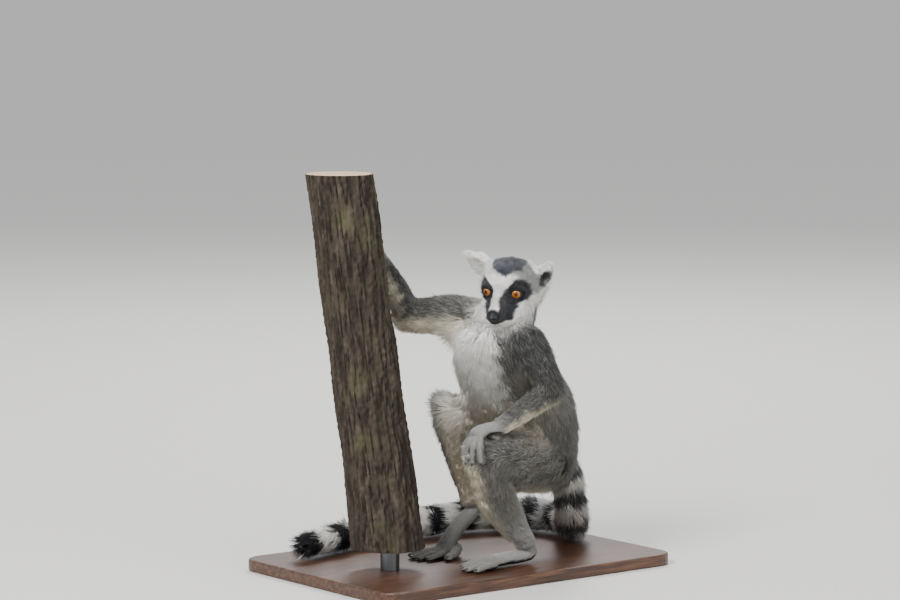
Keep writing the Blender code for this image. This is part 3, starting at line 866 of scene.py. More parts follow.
def head_colour(points, normals):
    """White face, slate cap, black eye patches running into a dark muzzle, white blaze; the left
    side carries painted shade on the temple, the nose's bridge and before the ear.
    """
    h = to_head(points)
    waver = ripple(points, 7, 9)
    along, across = h[:, 0], h[:, 1]
    height = h[:, 2] + MUZZLE_DROP * step(34, 62, along)
    away = np.abs(across)
    mirrored = np.column_stack([along, away, height])
    colour = np.tile(WHITE, (len(points), 1))
    colour = mix(colour, PALE_GREY, 0.6 * step(14, -8, along) * step(26, 12, away + height))
    nape = step(-10, -22, along) * step(-24, -8, height)
    colour = mix(colour, BACK_GREY_AND_SHADE, nape)
    # the temple's slate grey is real fur; it is stronger, wider and lower on the left side as
    # painted shade
    left_side_shade = step(5, 20, across)
    temple_width = (30.0 + 7.0 * left_side_shade) * np.sqrt(np.clip((27.0 - along) / 12.0, 0, 1))
    temple = step(-2, 4, temple_width - away + 1.5 * waver) * step(-10, -2, along)
    temple *= step(0, 7, height + 6 * step(24, 14, along) + 7 * left_side_shade + waver)
    ear_fluff = capsule_share(h, "ear fluff")
    temple *= step(0.75, 1.15, ear_fluff)
    colour = mix(colour, SLATE, (0.28 + 0.34 * step(-6, 6, across)) * temple)
    cap_width = 22.5 * np.sqrt(np.clip((28.0 - along) / 22.0, 0, 1))
    cap = step(-1.5, 2.0, cap_width - np.abs(across - 1.5) + 1.2 * waver)
    cap *= step(0, 3, height - (8.0 - 9 * step(8, 24, away)) + waver)
    cap *= step(-9, -3, along + 1.5 * waver) * step(0.75, 1.15, ear_fluff)
    colour = mix(colour, SLATE, cap)
    # painted shade in front of the left ear's root
    colour = mix(colour, EAR_INSIDE, shade_before_left_ear(h))
    side = np.minimum(capsule_share(mirrored, "muzzle"), capsule_share(mirrored, "jowl"))
    side = step(1.10, 0.86, side + 0.06 * waver) * step(-28.5, -26.0, height)
    colour = mix(colour, SNOUT, side)
    patch = capsule_share(mirrored, "eye patch")
    colour = mix(colour, BLACK, step(1.03, 0.89, patch + 0.05 * waver))
    # the white blaze sits off the middle, towards the right, so the left half of the nose's bridge
    # stays dark: partly the dark muzzle, partly painted shade
    half = 3.9 + 9.0 * step(1, 9, height) - 1.3 * step(50, 60, along)
    blaze = step(half + 1.0, half - 1.0, np.abs(across + 3.3) + 0.6 * waver)
    blaze *= step(62, 56, along) * step(-20, -15, height) * step(11, 8, height)
    colour = mix(colour, mix(WHITE, PALE_GREY, 0.5 * step(44, 58, along)), blaze)
    lips = capsule_share(mirrored, "lips")
    colour = mix(colour, mix(BLACK, SNOUT, 0.5), step(1.15, 0.75, lips))
    return mix(colour, BLACK, step(57, 61, along + 0.6 * waver) * step(-30, -28, height))


PAINTERS = {"torso": trunk_colour, "neck": neck_colour, "head": head_colour}
for name in FLESH:
    if KIND[name] == "tail":
        PAINTERS[name] = tail_colour
    elif KIND[name] in PAWS:
        PAINTERS[name] = paw_colour(name)
    elif KIND[name] == "ear":
        PAINTERS[name] = ear_colour(name.rsplit("_", 1)[1])
    elif name not in PAINTERS:
        PAINTERS[name] = limb_colour(name)


def coat_colour(points, normals, share):
    """The coat's colour at each point, blended over the joins between parts."""
    colour = np.zeros_like(points)
    total = np.zeros((len(points), 1))
    for index, node in enumerate(FLESH):
        used = share[:, index] > 0.02
        if used.any():
            weight = share[used, index:index + 1]
            colour[used] += weight * PAINTERS[node](points[used], normals[used])
            total[used] += weight
    return colour / np.maximum(total, 1e-6)


def bare_share(points, normals, share):
    """Where the skin is bare: nose pad, lips, lids, palms, soles and the ears' hollows."""
    h = to_head(points)
    head = step(0.3, 0.6, share[:, FLESH.index("head")])
    bare = step(62.5, 64.5, h[:, 0]) * step(-27, -24, h[:, 2]) * head
    for side in ("left", "right"):
        edge, reach = lid_angles(points, side)
        near = step(eye_radius(side) + 5, eye_radius(side) + 3, reach)
        bare = np.maximum(bare, step(1.32, 1.20, edge) * near * head)
        ear = share[:, FLESH.index(f"ear_{side}")]
        bare = np.maximum(bare, 0.8 * step(0.3, 0.6, ear) * ear_cup(side, points, normals))
    for index, node in enumerate(FLESH):
        if KIND[node] in PAWS:
            paw = step(0.3, 0.6, share[:, index])
            bare = np.maximum(bare, paw * bare_sole(node, points, normals))
    return bare


# ------------ unwrap for OFBake
def node_chart(node, points):
    """Turn round the node's middle line and run along it, both from 0 to 1."""
    line = AXES[node]
    run, place, _ = follow(points, line)
    total = np.linalg.norm(np.diff(line, axis=0), axis=1).sum()
    if KIND[node] == "tail":
        part = int(node.rsplit("_", 1)[1]) - 1
        run = run * TAIL_LENGTHS / total - part
    else:
        run = run / total
    whole = unit(line[-1] - line[0])
    first = unit(np.cross(whole, [0.21, 0.35, 0.91] if abs(whole[2]) < 0.8 else [0, 1, 0]))
    second = np.cross(whole, first)
    out = points - place
    turn = np.arctan2(out @ second, out @ first) / (2 * math.pi) + 0.5
    return turn, run


def chart_places():
    """A place on the square for each node's chart, in shelves of like size."""
    size = {}
    for node in FLESH:
        low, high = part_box(node)
        extent = sorted((high - low) / MM)
        total = np.linalg.norm(np.diff(AXES[node], axis=0), axis=1).sum()
        long = total / TAIL_LENGTHS if KIND[node] == "tail" else total
        girth = 2.2 * (extent[0] + extent[1]) / 2
        size[node] = np.array([girth * CHART_ROOM, long * 1.25]) * CHART_SCALE
    places = {}
    x = y = shelf = CHART_EDGE
    for node in sorted(FLESH, key=lambda n: -size[n][1]):
        wide, tall = size[node]
        if x + wide > 1 - CHART_EDGE:
            x = CHART_EDGE
            y += shelf + CHART_GAP
            shelf = 0.0
        places[node] = (x, y, wide, tall)
        shelf = max(shelf, tall)
        x += wide + CHART_GAP
    return places


CHARTS = chart_places()


def chart_uv(owner, points):
    """Each point's place on the square, by the chart of the node that owns it."""
    uv = np.zeros((len(points), 2))
    for index, node in enumerate(FLESH):
        mine = owner == index
        if not mine.any():
            continue
        turn, run = node_chart(node, points[mine])
        x, y, wide, tall = CHARTS[node]
        uv[mine, 0] = x + wide * turn
        uv[mine, 1] = y + tall * (0.08 + 0.84 * np.clip(run, -0.08, 1.08))
    return uv


def skin_uv(skin):
    """Places on the map for the skin's corners, whole across each chart's seam."""
    owner = skin.share[skin.faces].mean(axis=1).argmax(axis=1)
    corners = skin.points[skin.faces].reshape(-1, 3)
    uv = chart_uv(np.repeat(owner, 3), corners).reshape(-1, 3, 2)
    for index, node in enumerate(FLESH):
        wide = CHARTS[node][2]
        mine = owner == index
        own = uv[mine]
        split = np.ptp(own[:, :, 0], axis=1) > wide / 2
        low = own[:, :, 0] < own[:, :, 0].mean(axis=1, keepdims=True)
        own[:, :, 0] += wide * (split[:, None] & low)
        uv[mine] = own
    return uv.reshape(-1, 2)


# ------------ materials
def add_node(tree, kind, settings=None, links=None):
    """Add a node, set its properties or unlinked inputs, and feed its linked inputs."""
    node = tree.nodes.new(kind)
    for key, value in (settings or {}).items():
        if key == "ramp":
            stops = node.color_ramp.elements
            while len(stops) < len(value):
                stops.new(0.5)
            for stop, (place, colour) in zip(stops, value):
                stop.position = place
                stop.color = (*colour, 1.0)
        elif isinstance(key, str) and hasattr(node, key):
            setattr(node, key, value)
        else:
            node.inputs[key].default_value = value
    for key, source in (links or {}).items():
        tree.links.new(source, node.inputs[key])
    return node


def new_material(name, **settings):
    """A material with a bare Principled shader; returns it with its tree and shader."""
    material = bpy.data.materials.new(name)
    material.use_nodes = True
    tree = material.node_tree
    shader = tree.nodes["Principled BSDF"]
    for key, value in settings.items():
        shader.inputs[key.replace("_", " ")].default_value = value
    return material, tree, shader


def coat_material():
    """Hair: soft, dull, with a faint sheen off the tips; its colour is laid on tuft by tuft."""
    material, tree, shader = new_material("lemur hair", Roughness=0.72, Sheen_Weight=0.12,
                                          Specular_IOR_Level=0.25)
    paint = add_node(tree, "ShaderNodeAttribute", {"attribute_name": "coat"})
    tree.links.new(paint.outputs["Color"], shader.inputs["Base Color"])
    return material


def skin_material():
    """Skin: matt under the coat, moist black leather with fine pores where it is bare."""
    material, tree, shader = new_material("lemur skin", Specular_IOR_Level=0.32)
    paint = add_node(tree, "ShaderNodeAttribute", {"attribute_name": "skin"})
    tree.links.new(paint.outputs["Color"], shader.inputs["Base Color"])
    bare = add_node(tree, "ShaderNodeAttribute", {"attribute_name": "bare"})
    rough = add_node(tree, "ShaderNodeMapRange", {"To Min": 0.8, "To Max": 0.42},
                     {"Value": bare.outputs["Fac"]})
    tree.links.new(rough.outputs["Result"], shader.inputs["Roughness"])
    place = add_node(tree, "ShaderNodeTexCoord")
    pores = add_node(tree, "ShaderNodeTexVoronoi", {"Scale": 1 / (0.7 * MM)},
                     {"Vector": place.outputs["Object"]})
    bump = add_node(tree, "ShaderNodeBump", {"Strength": 0.35, "Distance": 0.25 * MM},
                    {"Height": pores.outputs["Distance"]})
    tree.links.new(bump.outputs["Normal"], shader.inputs["Normal"])
    return material


def eye_material():
    """Glass eye: painted iris under a clear, high gloss."""
    material, tree, shader = new_material("glass eye", Roughness=0.05, Coat_Weight=0.2,
                                          Coat_Roughness=0.02, IOR=1.38)
    paint = add_node(tree, "ShaderNodeAttribute", {"attribute_name": "iris"})
    tree.links.new(paint.outputs["Color"], shader.inputs["Base Color"])
    return material


def bark_material():
    """Bark: dull, furrowed along the trunk, grey-brown ridges over dark furrows."""
    material, tree, shader = new_material("bark", Roughness=0.88, Specular_IOR_Level=0.25)
    place = add_node(tree, "ShaderNodeTexCoord")
    along = add_node(tree, "ShaderNodeMapping", {"Scale": (1, 1, 0.26)},
                     {"Vector": place.outputs["Object"]})
    furrow = add_node(tree, "ShaderNodeTexNoise",
                      {"Scale": 1 / (7 * MM), "Detail": 10.0, "Roughness": 0.72},
                      {"Vector": along.outputs["Vector"]})
    patch = add_node(tree, "ShaderNodeTexNoise", {"Scale": 1 / (38 * MM), "Detail": 3.0},
                     {"Vector": place.outputs["Object"]})
    # lighter on the bark's ridges, darker in its furrows
    ridge_share = add_node(tree, "ShaderNodeAttribute", {"attribute_name": "ridge"})
    high = add_node(tree, "ShaderNodeMath", {"operation": "MULTIPLY_ADD", 1: 0.16},
                    {0: ridge_share.outputs["Fac"], 2: furrow.outputs["Fac"]})
    base = add_node(tree, "ShaderNodeValToRGB", {"ramp": [
        (0.30, hex_colour("#14100c")), (0.50, hex_colour("#261f19")),
        (0.68, hex_colour("#3a322a")), (0.90, hex_colour("#5c5246"))]},
        {"Fac": high.outputs["Value"]})
    moss = add_node(tree, "ShaderNodeMapRange",
                    {"From Min": 0.52, "From Max": 0.72, "To Max": 0.5},
                    {"Value": patch.outputs["Fac"]})
    tint = add_node(tree, "ShaderNodeMix", {"data_type": "RGBA", "B": (*hex_colour("#4a4930"), 1)},
                    {"Factor": moss.outputs["Result"], "A": base.outputs["Color"]})
    tree.links.new(tint.outputs["Result"], shader.inputs["Base Color"])
    bump = add_node(tree, "ShaderNodeBump", {"Strength": 0.9, "Distance": 1.5 * MM},
                    {"Height": furrow.outputs["Fac"]})
    tree.links.new(bump.outputs["Normal"], shader.inputs["Normal"])
    return material


def end_grain_material():
    """Sawn end: pale wood with yearly rings round the pith."""
    material, tree, shader = new_material("sawn end grain", Roughness=0.7)
    pith = add_node(tree, "ShaderNodeAttribute", {"attribute_name": "pith"})
    rings = add_node(tree, "ShaderNodeTexNoise",    # 26 to the radius, about 1.5 mm apart
                     {"Scale": 26.0, "Detail": 4.0, "noise_dimensions": "1D"},
                     {"W": pith.outputs["Fac"]})
    colour = add_node(tree, "ShaderNodeValToRGB", {"ramp": [
        (0.35, hex_colour("#9b7a52")), (0.65, hex_colour("#cdb188"))]},
        {"Fac": rings.outputs["Fac"]})
    tree.links.new(colour.outputs["Color"], shader.inputs["Base Color"])
    return material


def stand_material():
    """Waxed dark hardwood: long grain along the plate, satin from the wax."""
    material, tree, shader = new_material("waxed hardwood", Roughness=0.38)
    place = add_node(tree, "ShaderNodeTexCoord")
    along = add_node(tree, "ShaderNodeMapping", {"Scale": (1, 0.06, 1)},
                     {"Vector": place.outputs["Object"]})
    grain = add_node(tree, "ShaderNodeTexNoise",
                     {"Scale": 1 / (3.5 * MM), "Detail": 7.0, "Roughness": 0.6},
                     {"Vector": along.outputs["Vector"]})
    colour = add_node(tree, "ShaderNodeValToRGB", {"ramp": [
        (0.32, hex_colour("#2a1a12")), (0.52, hex_colour("#4a2f20")),
        (0.70, hex_colour("#6a4831"))]}, {"Fac": grain.outputs["Fac"]})
    tree.links.new(colour.outputs["Color"], shader.inputs["Base Color"])
    bump = add_node(tree, "ShaderNodeBump", {"Strength": 0.12, "Distance": 0.2 * MM},
                    {"Height": grain.outputs["Fac"]})
    tree.links.new(bump.outputs["Normal"], shader.inputs["Normal"])
    return material


def steel_material():
    """Brushed dark steel: lines round the rod, drawn coarser than real ones so that they show."""
    material, tree, shader = new_material("brushed steel", Metallic=1.0, Roughness=0.34)
    shader.inputs["Base Color"].default_value = (*hex_colour("#6f7175"), 1)
    place = add_node(tree, "ShaderNodeTexCoord")
    lines = add_node(tree, "ShaderNodeMapping", {"Scale": (0.05, 0.05, 1)},
                     {"Vector": place.outputs["Object"]})
    brush = add_node(tree, "ShaderNodeTexNoise", {"Scale": 1 / (0.8 * MM), "Detail": 3.0},
                     {"Vector": lines.outputs["Vector"]})
    bump = add_node(tree, "ShaderNodeBump", {"Strength": 0.15, "Distance": 0.1 * MM},
                    {"Height": brush.outputs["Fac"]})
    tree.links.new(bump.outputs["Normal"], shader.inputs["Normal"])
    return material


def floor_material():
    """Pale matt studio floor."""
    material, _, shader = new_material("studio floor", Roughness=0.9)
    shader.inputs["Base Color"].default_value = (*hex_colour("#cfcdc8"), 1)
    return material


# ------------ the skin's piece
def set_colour(mesh, name, colour):
    layer = mesh.attributes.new(name, "FLOAT_COLOR", "POINT")
    full = np.ones((len(colour), 4), np.float32)
    full[:, :3] = colour
    layer.data.foreach_set("color", full.ravel())


def set_value(mesh, name, value):
    layer = mesh.attributes.new(name, "FLOAT", "POINT")
    layer.data.foreach_set("value", value.astype(np.float32))


def set_uv(mesh, uv):
    layer = mesh.uv_layers.new(name="OFBake")
    layer.data.foreach_set("uv", uv.astype(np.float32).ravel())


def make_skin_piece(skin):
    mesh = skin.mesh
    mesh.shade_smooth()
    bare = bare_share(skin.points, skin.normals, skin.share)
    fur = coat_colour(skin.points, skin.normals, skin.share)
    # the skin under the coat: the fur's colour darkened, as painted shade deep in the coat
    fur_in_shade = fur * (0.55 + 0.30 * step(0.35, 0.75, fur.mean(axis=1)))[:, None]
    set_colour(mesh, "skin", mix(fur_in_shade, LEATHER, bare * cup_free(skin)))
    set_value(mesh, "bare", bare)
    set_uv(mesh, skin_uv(skin))
    mesh.materials.clear()
    mesh.materials.append(skin_material())
    piece = new_object("lemur_skin", mesh)
    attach(piece, "root")
    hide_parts(*FLESH)


def cup_free(skin):
    """1 except on the ears, whose hollows keep their own colour."""
    ears = sum(skin.share[:, FLESH.index(f"ear_{side}")] for side in ("left", "right"))
    return step(0.6, 0.3, ears)


# ------------ coat
def sample_roots(wanted):
    """Roots spread over the skin's faces in proportion to what each face asks for."""
    total = wanted.sum()
    count = int(total)
    marks = (np.arange(count) + rng.random(count)) * total / count
    face = np.minimum(np.searchsorted(np.cumsum(wanted), marks), len(wanted) - 1)
    a, b = rng.random((2, count))
    flip = a + b > 1
    a[flip], b[flip] = 1 - a[flip], 1 - b[flip]
    return face, np.column_stack([1 - a - b, a, b])


def part_values(share, column):
    """One of the COATS values, blended by how much each part owns of a place."""
    values = np.array([COATS[KIND[node]][column] for node in FLESH])
    return share @ values / share.sum(axis=1)


def tuft_mesh(name, roots, normals, flow, depth, length, width, colours, uv, bends):
    """Closed locks of hair: each swells from its root, bends over and ends in a point."""
    count = len(roots)
    side = unit(np.cross(flow, normals))
    half = side * (0.5 * width)[:, None]
    ridge = normals * (0.5 * width)[:, None]
    base = roots - normals * ROOT_DEPTH
    tip = roots + normals * depth[:, None] + flow * length[:, None]
    if bends:
        middle = roots + normals * (0.60 * depth)[:, None] + flow * (0.36 * length)[:, None]
        verts = [base, middle - half, middle + half, middle + ridge, tip]
        along = [0, 0.45, 0.45, 0.5, 1]
        across = [0, -1, 1, 0, 0]
        faces = [(0, 3, 1), (0, 2, 3), (0, 1, 2), (1, 3, 4), (3, 2, 4), (2, 1, 4)]
    else:
        verts = [base - half, base + half, base + ridge, tip]
        along = [0, 0, 0, 1]
        across = [-1, 1, 0, 0]
        faces = [(0, 2, 3), (2, 1, 3), (1, 0, 3), (0, 1, 2)]
    per = len(verts)
    points = keep_clear(np.stack(verts, axis=1).reshape(-1, 3))
    index = (np.arange(count)[:, None, None] * per + np.array(faces)[None]).reshape(-1, 3)
    mesh = bpy.data.meshes.new(name)
    mesh.vertices.add(len(points))
    mesh.loops.add(index.size)
    mesh.polygons.add(len(index))
    mesh.vertices.foreach_set("co", from_body(points).astype(np.float32).ravel())
    mesh.loops.foreach_set("vertex_index", index.astype(np.int32).ravel())
    mesh.polygons.foreach_set("loop_start", np.arange(0, index.size, 3, dtype=np.int32))
    mesh.update(calc_edges=True)
    mesh.shade_smooth()
    along = np.array(along)
    across = np.array(across)
    shaded_root_colour, tip_colour = colours
    shade = shaded_root_colour[:, None, :] + (tip_colour - shaded_root_colour)[:, None, :] * along[None, :, None]
    set_colour(mesh, "coat", shade.reshape(-1, 3))
    patch = np.empty((count, per, 2))
    patch[:, :, 0] = uv[:, 0:1] + TUFT_PATCH / 2 * across
    patch[:, :, 1] = uv[:, 1:2] + TUFT_PATCH * (along - 0.5)
    set_uv(mesh, patch.reshape(-1, 2)[index.ravel()])
    return mesh


def comb(roots, normals, flow):
    """Let the tufts waver; returns the way, the lift and the stretch of each."""
    count = len(roots)
    sway = 0.30 * ripple(roots, 16, 21) + 0.28 * ripple(roots, 6, 22) + rng.normal(0, 0.16, count)
    side = np.cross(flow, normals)
    way = unit(flow * np.cos(sway)[:, None] + side * np.sin(sway)[:, None])
    lift = 0.92 + 0.09 * ripple(roots, 9, 23) + rng.normal(0, 0.06, count)
    stretch = 1 + 0.15 * ripple(roots, 8, 24) + rng.normal(0, 0.14, count)
    return way, lift, np.clip(stretch, 0.5, 1.5)


def dye(roots, normals, share):
    """Each tuft's colour at its root and at its tip, with light-tipped flecks in the greys; the
    roots are darker, partly the hair's own dark base and partly painted shade deep in the coat.
    """
    count = len(roots)
    colour = coat_colour(roots, normals, share)
    grey = step(0.75, 0.35, colour.mean(axis=1)) * step(0.02, 0.06, colour.mean(axis=1))
    light = 1 + 0.07 * ripple(roots, 5, 25) + rng.normal(0, 0.06, count)
    light += grey * rng.choice([-0.22, 0.0, 0.30], count, p=[0.3, 0.5, 0.2])
    colour = colour * np.clip(light, 0.5, 1.5)[:, None]
    # darker roots: the hair's own dark base, with painted shade deep in the coat; the whites less so
    shaded_root_colour = colour * (0.60 + 0.22 * step(0.35, 0.75, colour.mean(axis=1)))[:, None]
    fleck = 0.42 * grey * (rng.random(count) < 0.24)
    return shaded_root_colour, np.clip(mix(colour * 1.08, PALE_GREY, fleck), 0, 0.95)


def make_coat(skin):
    """Tufts over the whole skin, in pieces by part of the body."""
    corners = skin.points[skin.faces]
    area = 0.5 * np.linalg.norm(
        np.cross(corners[:, 1] - corners[:, 0], corners[:, 2] - corners[:, 0]), axis=1
    )
    face_share = skin.share[skin.faces].mean(axis=1)
    bare = bare_share(skin.points, skin.normals, skin.share)
    face_bare = bare[skin.faces].max(axis=1)
    wanted = area / part_values(face_share, 3) ** 2 * (1 - face_bare)
    face, weight = sample_roots(wanted)
    verts = skin.faces[face]

    def at_root(values):
        return (values[verts] * weight.reshape(len(weight), 3, *[1] * (values.ndim - 1))).sum(axis=1)

    roots = at_root(skin.points)
    normals = unit(at_root(skin.normals))
    flow = unit(at_root(skin.flow))
    share = at_root(skin.share)
    depth = at_root(skin.depth)
    owner = face_share[face].argmax(axis=1)
    length = part_values(share, 1) * np.clip(depth / part_values(share, 0), 0.5, 1.0)
    width = part_values(share, 2)
    on_head = share[:, FLESH.index("head")] / share.sum(axis=1)
    length = length + on_head * (1.9 * depth + 0.8 - length)
    width = width + on_head * (0.34 + 0.06 * depth - width)
    way, lift, stretch = comb(roots, normals, flow)
    shaded_root_colour, tip_colour = dye(roots, normals, share)
    uv = chart_uv(owner, roots)
    material = coat_material()
    length = length * stretch
    for kind in sorted(set(KIND.values())):
        owned = np.isin(owner, [i for i, n in enumerate(FLESH) if KIND[n] == kind])
        for bends in (True, False):
            chosen = np.flatnonzero(owned & ((length >= SHORT_TUFT) == bends))
            most = PIECE_TRIANGLES // (6 if bends else 4)
            parts = max(1, math.ceil(len(chosen) / most))
            for k in range(parts):
                own = chosen[k::parts]
                if len(own) < FEWEST_TUFTS:
                    continue
                name = f"coat_{kind}_{'long' if bends else 'short'}_{k + 1}"
                mesh = tuft_mesh(
                    name, roots[own], normals[own], way[own], (depth * lift)[own],
                    length[own], width[own], (shaded_root_colour[own], tip_colour[own]), uv[own], bends,
                )
                mesh.materials.append(material)
                piece = new_object(name, mesh)
                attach(piece, "root")


# ------------ eyes
def make_eye(side, material):
    """A ball with its pole at the pupil, painted with iris, pupil and dark rim."""
    radius = eye_radius(side)
    bm = bmesh.new()
    axis = Vector(eye_axis(side))
    turn = axis.to_track_quat("Z", "Y").to_matrix().to_4x4()
    bmesh.ops.create_uvsphere(bm, u_segments=96, v_segments=120, radius=radius * MM,
                              matrix=Matrix.Translation(from_body(eye_centre(side))) @ turn)
    eye = finished(f"glass_eye_{side}", bm)
    points = to_body(read_points(eye.data)) - eye_centre(side)
    local = points @ np.array(turn.to_3x3())
    off = np.degrees(np.arctan2(np.hypot(local[:, 0], local[:, 1]), local[:, 2]))
    around = np.arctan2(local[:, 1], local[:, 0])
    streak = sum(np.sin(around * n + n * n) for n in (17, 29, 43)) / 3
    iris = mix(hex_colour("#713b0b"), hex_colour("#a4661b"), step(14, 30, off + 3 * streak))
    iris = mix(iris, hex_colour("#432207"), step(34, 41, off))
    pupil = np.tile(BLACK * 0.5, (len(off), 1))
    colour = mix(pupil, iris, step(PUPIL_EDGE - 0.75, PUPIL_EDGE + 0.75, off))
    colour = mix(colour, hex_colour("#120b08"), step(IRIS_EDGE - 1.5, IRIS_EDGE + 1.5, off))
    set_colour(eye.data, "iris", colour)
    bulge = 1 + CORNEA_BULGE * step(40, 8, off)
    write_points(eye.data, from_body(eye_centre(side) + points * bulge[:, None]))
    eye.data.materials.append(material)
    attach(eye, "root")
    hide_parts(f"eye_{side}")


# ------------ nails
def horn_material():
    """Nail horn: near black and smooth; its grain, coarser than real, breaks the shine."""
    material, tree, shader = new_material("nail horn", Roughness=0.34)
    shader.inputs["Base Color"].default_value = (*hex_colour("#2b2422"), 1)
    place = add_node(tree, "ShaderNodeTexCoord")
    grain = add_node(tree, "ShaderNodeTexNoise", {"Scale": 1 / (0.5 * MM), "Detail": 2.0},
                     {"Vector": place.outputs["Object"]})
    bump = add_node(tree, "ShaderNodeBump", {"Strength": 0.15, "Distance": 0.08 * MM},
                    {"Height": grain.outputs["Fac"]})
    tree.links.new(bump.outputs["Normal"], shader.inputs["Normal"])
    return material


def make_nails():
    """A curved, tapering nail on the back of each fingertip and toe."""
    bm = bmesh.new()
    for node, (_, digits) in PAW_CHAINS.items():
        for digit in digits:
            path = smooth_line(digit, 12)
            tip, radius = path[-1, :3], path[-1, 3]
            ahead = unit(tip - path[-5, :3])
            out = -grip_way(node, tip[None])[0]
            out = unit(out - (out @ ahead) * ahead)
            turn = Matrix((ahead, np.cross(out, ahead), out)).transposed().to_4x4()
            spot = tip + ahead * (0.80 * radius) + out * (0.72 * radius)
            place = Matrix.Translation(from_body(spot)) @ turn
            grown = bmesh.ops.create_icosphere(bm, subdivisions=3, radius=1.0)["verts"]
            for vert in grown:
                x, y, z = vert.co
                taper = 1 - 0.32 * x
                local = Vector((2.7 * x, 1.8 * y * taper, 0.75 * z * taper - 0.8 * x * x))
                vert.co = place @ (local * MM)
    nails = finished("nails", bm)
    nails.data.materials.append(horn_material())
    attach(nails, "root")


# ------------ perch, stand
def plain_trunk(bottom, top):
    """An upright tube in rows of small faces, with rings of faces over both ends."""
    bm = bmesh.new()
    bmesh.ops.create_circle(bm, segments=BARK_COLUMNS, radius=PERCH_RADIUS)
    rim = list(bm.edges)
    for vert in bm.verts:
        vert.co.z = bottom
    for k in range(BARK_ROWS):
        grown = bmesh.ops.extrude_edge_only(bm, edges=rim)["geom"]
        rim = [item for item in grown if isinstance(item, bmesh.types.BMEdge)]
        for vert in (item for item in grown if isinstance(item, bmesh.types.BMVert)):
            vert.co.z = bottom + (top - bottom) * (k + 1) / BARK_ROWS
    bmesh.ops.holes_fill(bm, edges=bm.edges)
    caps = [face for face in bm.faces if len(face.verts) > 4]
    for cap in caps:
        for _ in range(3):
            bmesh.ops.inset_region(bm, faces=[cap], thickness=PERCH_RADIUS * 0.22)
    bmesh.ops.recalc_face_normals(bm, faces=bm.faces)
    return finished("perch_bark", bm)


def make_perch():
    """The cut trunk: furrowed bark between two flat sawn ends."""
    low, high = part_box("perch_trunk")
    bottom, top = ((z - BODY_ORIGIN[2]) / MM for z in (low.z, high.z))
    perch = plain_trunk(bottom, top)
    mesh = perch.data
    spots = read_points(mesh)
    reach = np.hypot(spots[:, 0], spots[:, 1])
    on_bark = reach > PERCH_RADIUS * 0.98
    turn = np.arctan2(spots[:, 1], spots[:, 0])
    height = spots[:, 2]
    drawn_out = np.column_stack([
        PERCH_RADIUS * np.cos(turn), PERCH_RADIUS * np.sin(turn), 0.15 * height])
    furrow = np.abs(ripple(drawn_out, 11, 31) + 0.7 * ripple(drawn_out, 5.5, 32))
    ridge = step(0.0, 0.70, furrow + 0.12 * ripple(spots, 9, 35))
    swell = PERCH_SWELL * (1 - height / top) ** 3
    lumps = 1.1 * ripple(spots, 60, 34) - 1.0
    bark = swell + lumps - FURROW_DEPTH * (1 - ridge) + 0.6 * ripple(spots, 7, 33)
    inner = np.where(on_bark, np.minimum(bark, swell + 0.25), (swell - 1) * reach / PERCH_RADIUS)
    scale = (reach + inner) / np.maximum(reach, 1e-6)
    spots[:, :2] *= scale[:, None]
    spots[:, :2] += PERCH_FOOT + height[:, None] * PERCH_LEAN
    write_points(mesh, from_body(spots))
    set_value(mesh, "pith", reach / PERCH_RADIUS)
    set_value(mesh, "ridge", ridge)
    mesh.materials.append(bark_material())
    mesh.materials.append(end_grain_material())
    for face in mesh.polygons:
        if abs(face.normal.z) > 0.98 and all(
            reach[v] < PERCH_RADIUS * 1.01 for v in face.vertices
        ) and len({round(height[v], 3) for v in face.vertices}) == 1:
            face.material_index = 1
    mesh.set_sharp_from_angle(angle=math.radians(50))
    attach(perch, "root")
    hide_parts("perch_trunk")


def dress_stand():
    for node, material in (("stand_base", stand_material()), ("stand_rod", steel_material())):
        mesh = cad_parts[node].data
        mesh.materials.clear()
        mesh.materials.append(material)


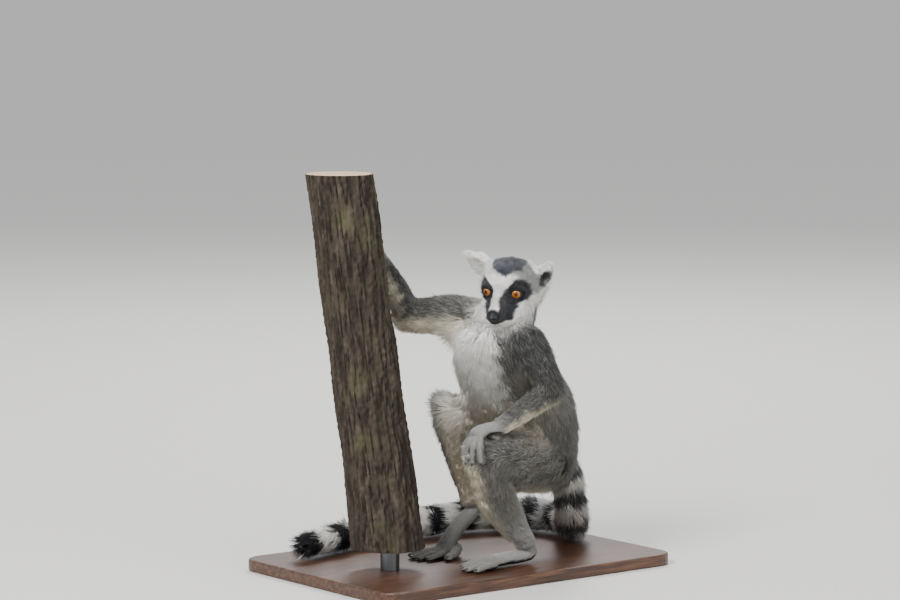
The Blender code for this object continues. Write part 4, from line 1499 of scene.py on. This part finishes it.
# ------------ studio
CAMERA_TURN = 52.0                  # degrees round from straight ahead
CAMERA_RISE = 6.0
CAMERA_AIM = (0.0, -132.8, 308.0)   # body frame, mm
CAMERA_DISTANCE = 3.88
CAMERA_LENS = 135.0
FLOOR_REACH = 90.0
WORLD_STRENGTH = 0.88
LIGHT_AIM = (0.0, 0.0, 0.25)
LIGHTS = {                          # place in m, width in m and power in W
    "key": ((0.9, -2.7, 2.5), 1.2, 165),
    "fill": ((3.0, 0.2, 1.5), 2.0, 42),
    "rim": ((-1.9, 1.7, 2.6), 1.2, 95),
}


def make_camera():
    turn, rise = math.radians(CAMERA_TURN), math.radians(CAMERA_RISE)
    back = Vector((
        math.sin(turn) * math.cos(rise), -math.cos(turn) * math.cos(rise), math.sin(rise)
    ))
    data = bpy.data.cameras.new("camera")
    data.lens = CAMERA_LENS
    camera = new_object("camera", data)
    camera.location = Vector(from_body(CAMERA_AIM)) + back * CAMERA_DISTANCE
    camera.rotation_euler = (-back).to_track_quat("-Z", "Y").to_euler()
    bpy.context.scene.camera = camera


def make_light(name, place, size, power):
    data = bpy.data.lights.new(name, "AREA")
    data.shape = "DISK"
    data.size = size
    data.energy = power
    lamp = new_object(name, data)
    lamp.location = place
    way = Vector(LIGHT_AIM) - Vector(place)
    lamp.rotation_euler = way.to_track_quat("-Z", "Y").to_euler()


def make_studio():
    bm = bmesh.new()
    bmesh.ops.create_grid(bm, x_segments=1, y_segments=1, size=FLOOR_REACH)
    floor = finished("studio_floor", bm, smooth=False)
    floor.data.materials.append(floor_material())
    world = bpy.data.worlds.new("studio")
    world.use_nodes = True
    light = world.node_tree.nodes["Background"].inputs
    light["Color"].default_value = (0.94, 0.96, 1.0, 1)
    light["Strength"].default_value = WORLD_STRENGTH
    bpy.context.scene.world = world
    for name, settings in LIGHTS.items():
        make_light(name, *settings)


def main():
    make_camera()
    make_studio()
    skin = Skin()
    make_skin_piece(skin)
    make_coat(skin)
    glass = eye_material()
    for side in ("left", "right"):
        make_eye(side, glass)
    make_nails()
    make_perch()
    dress_stand()


main()
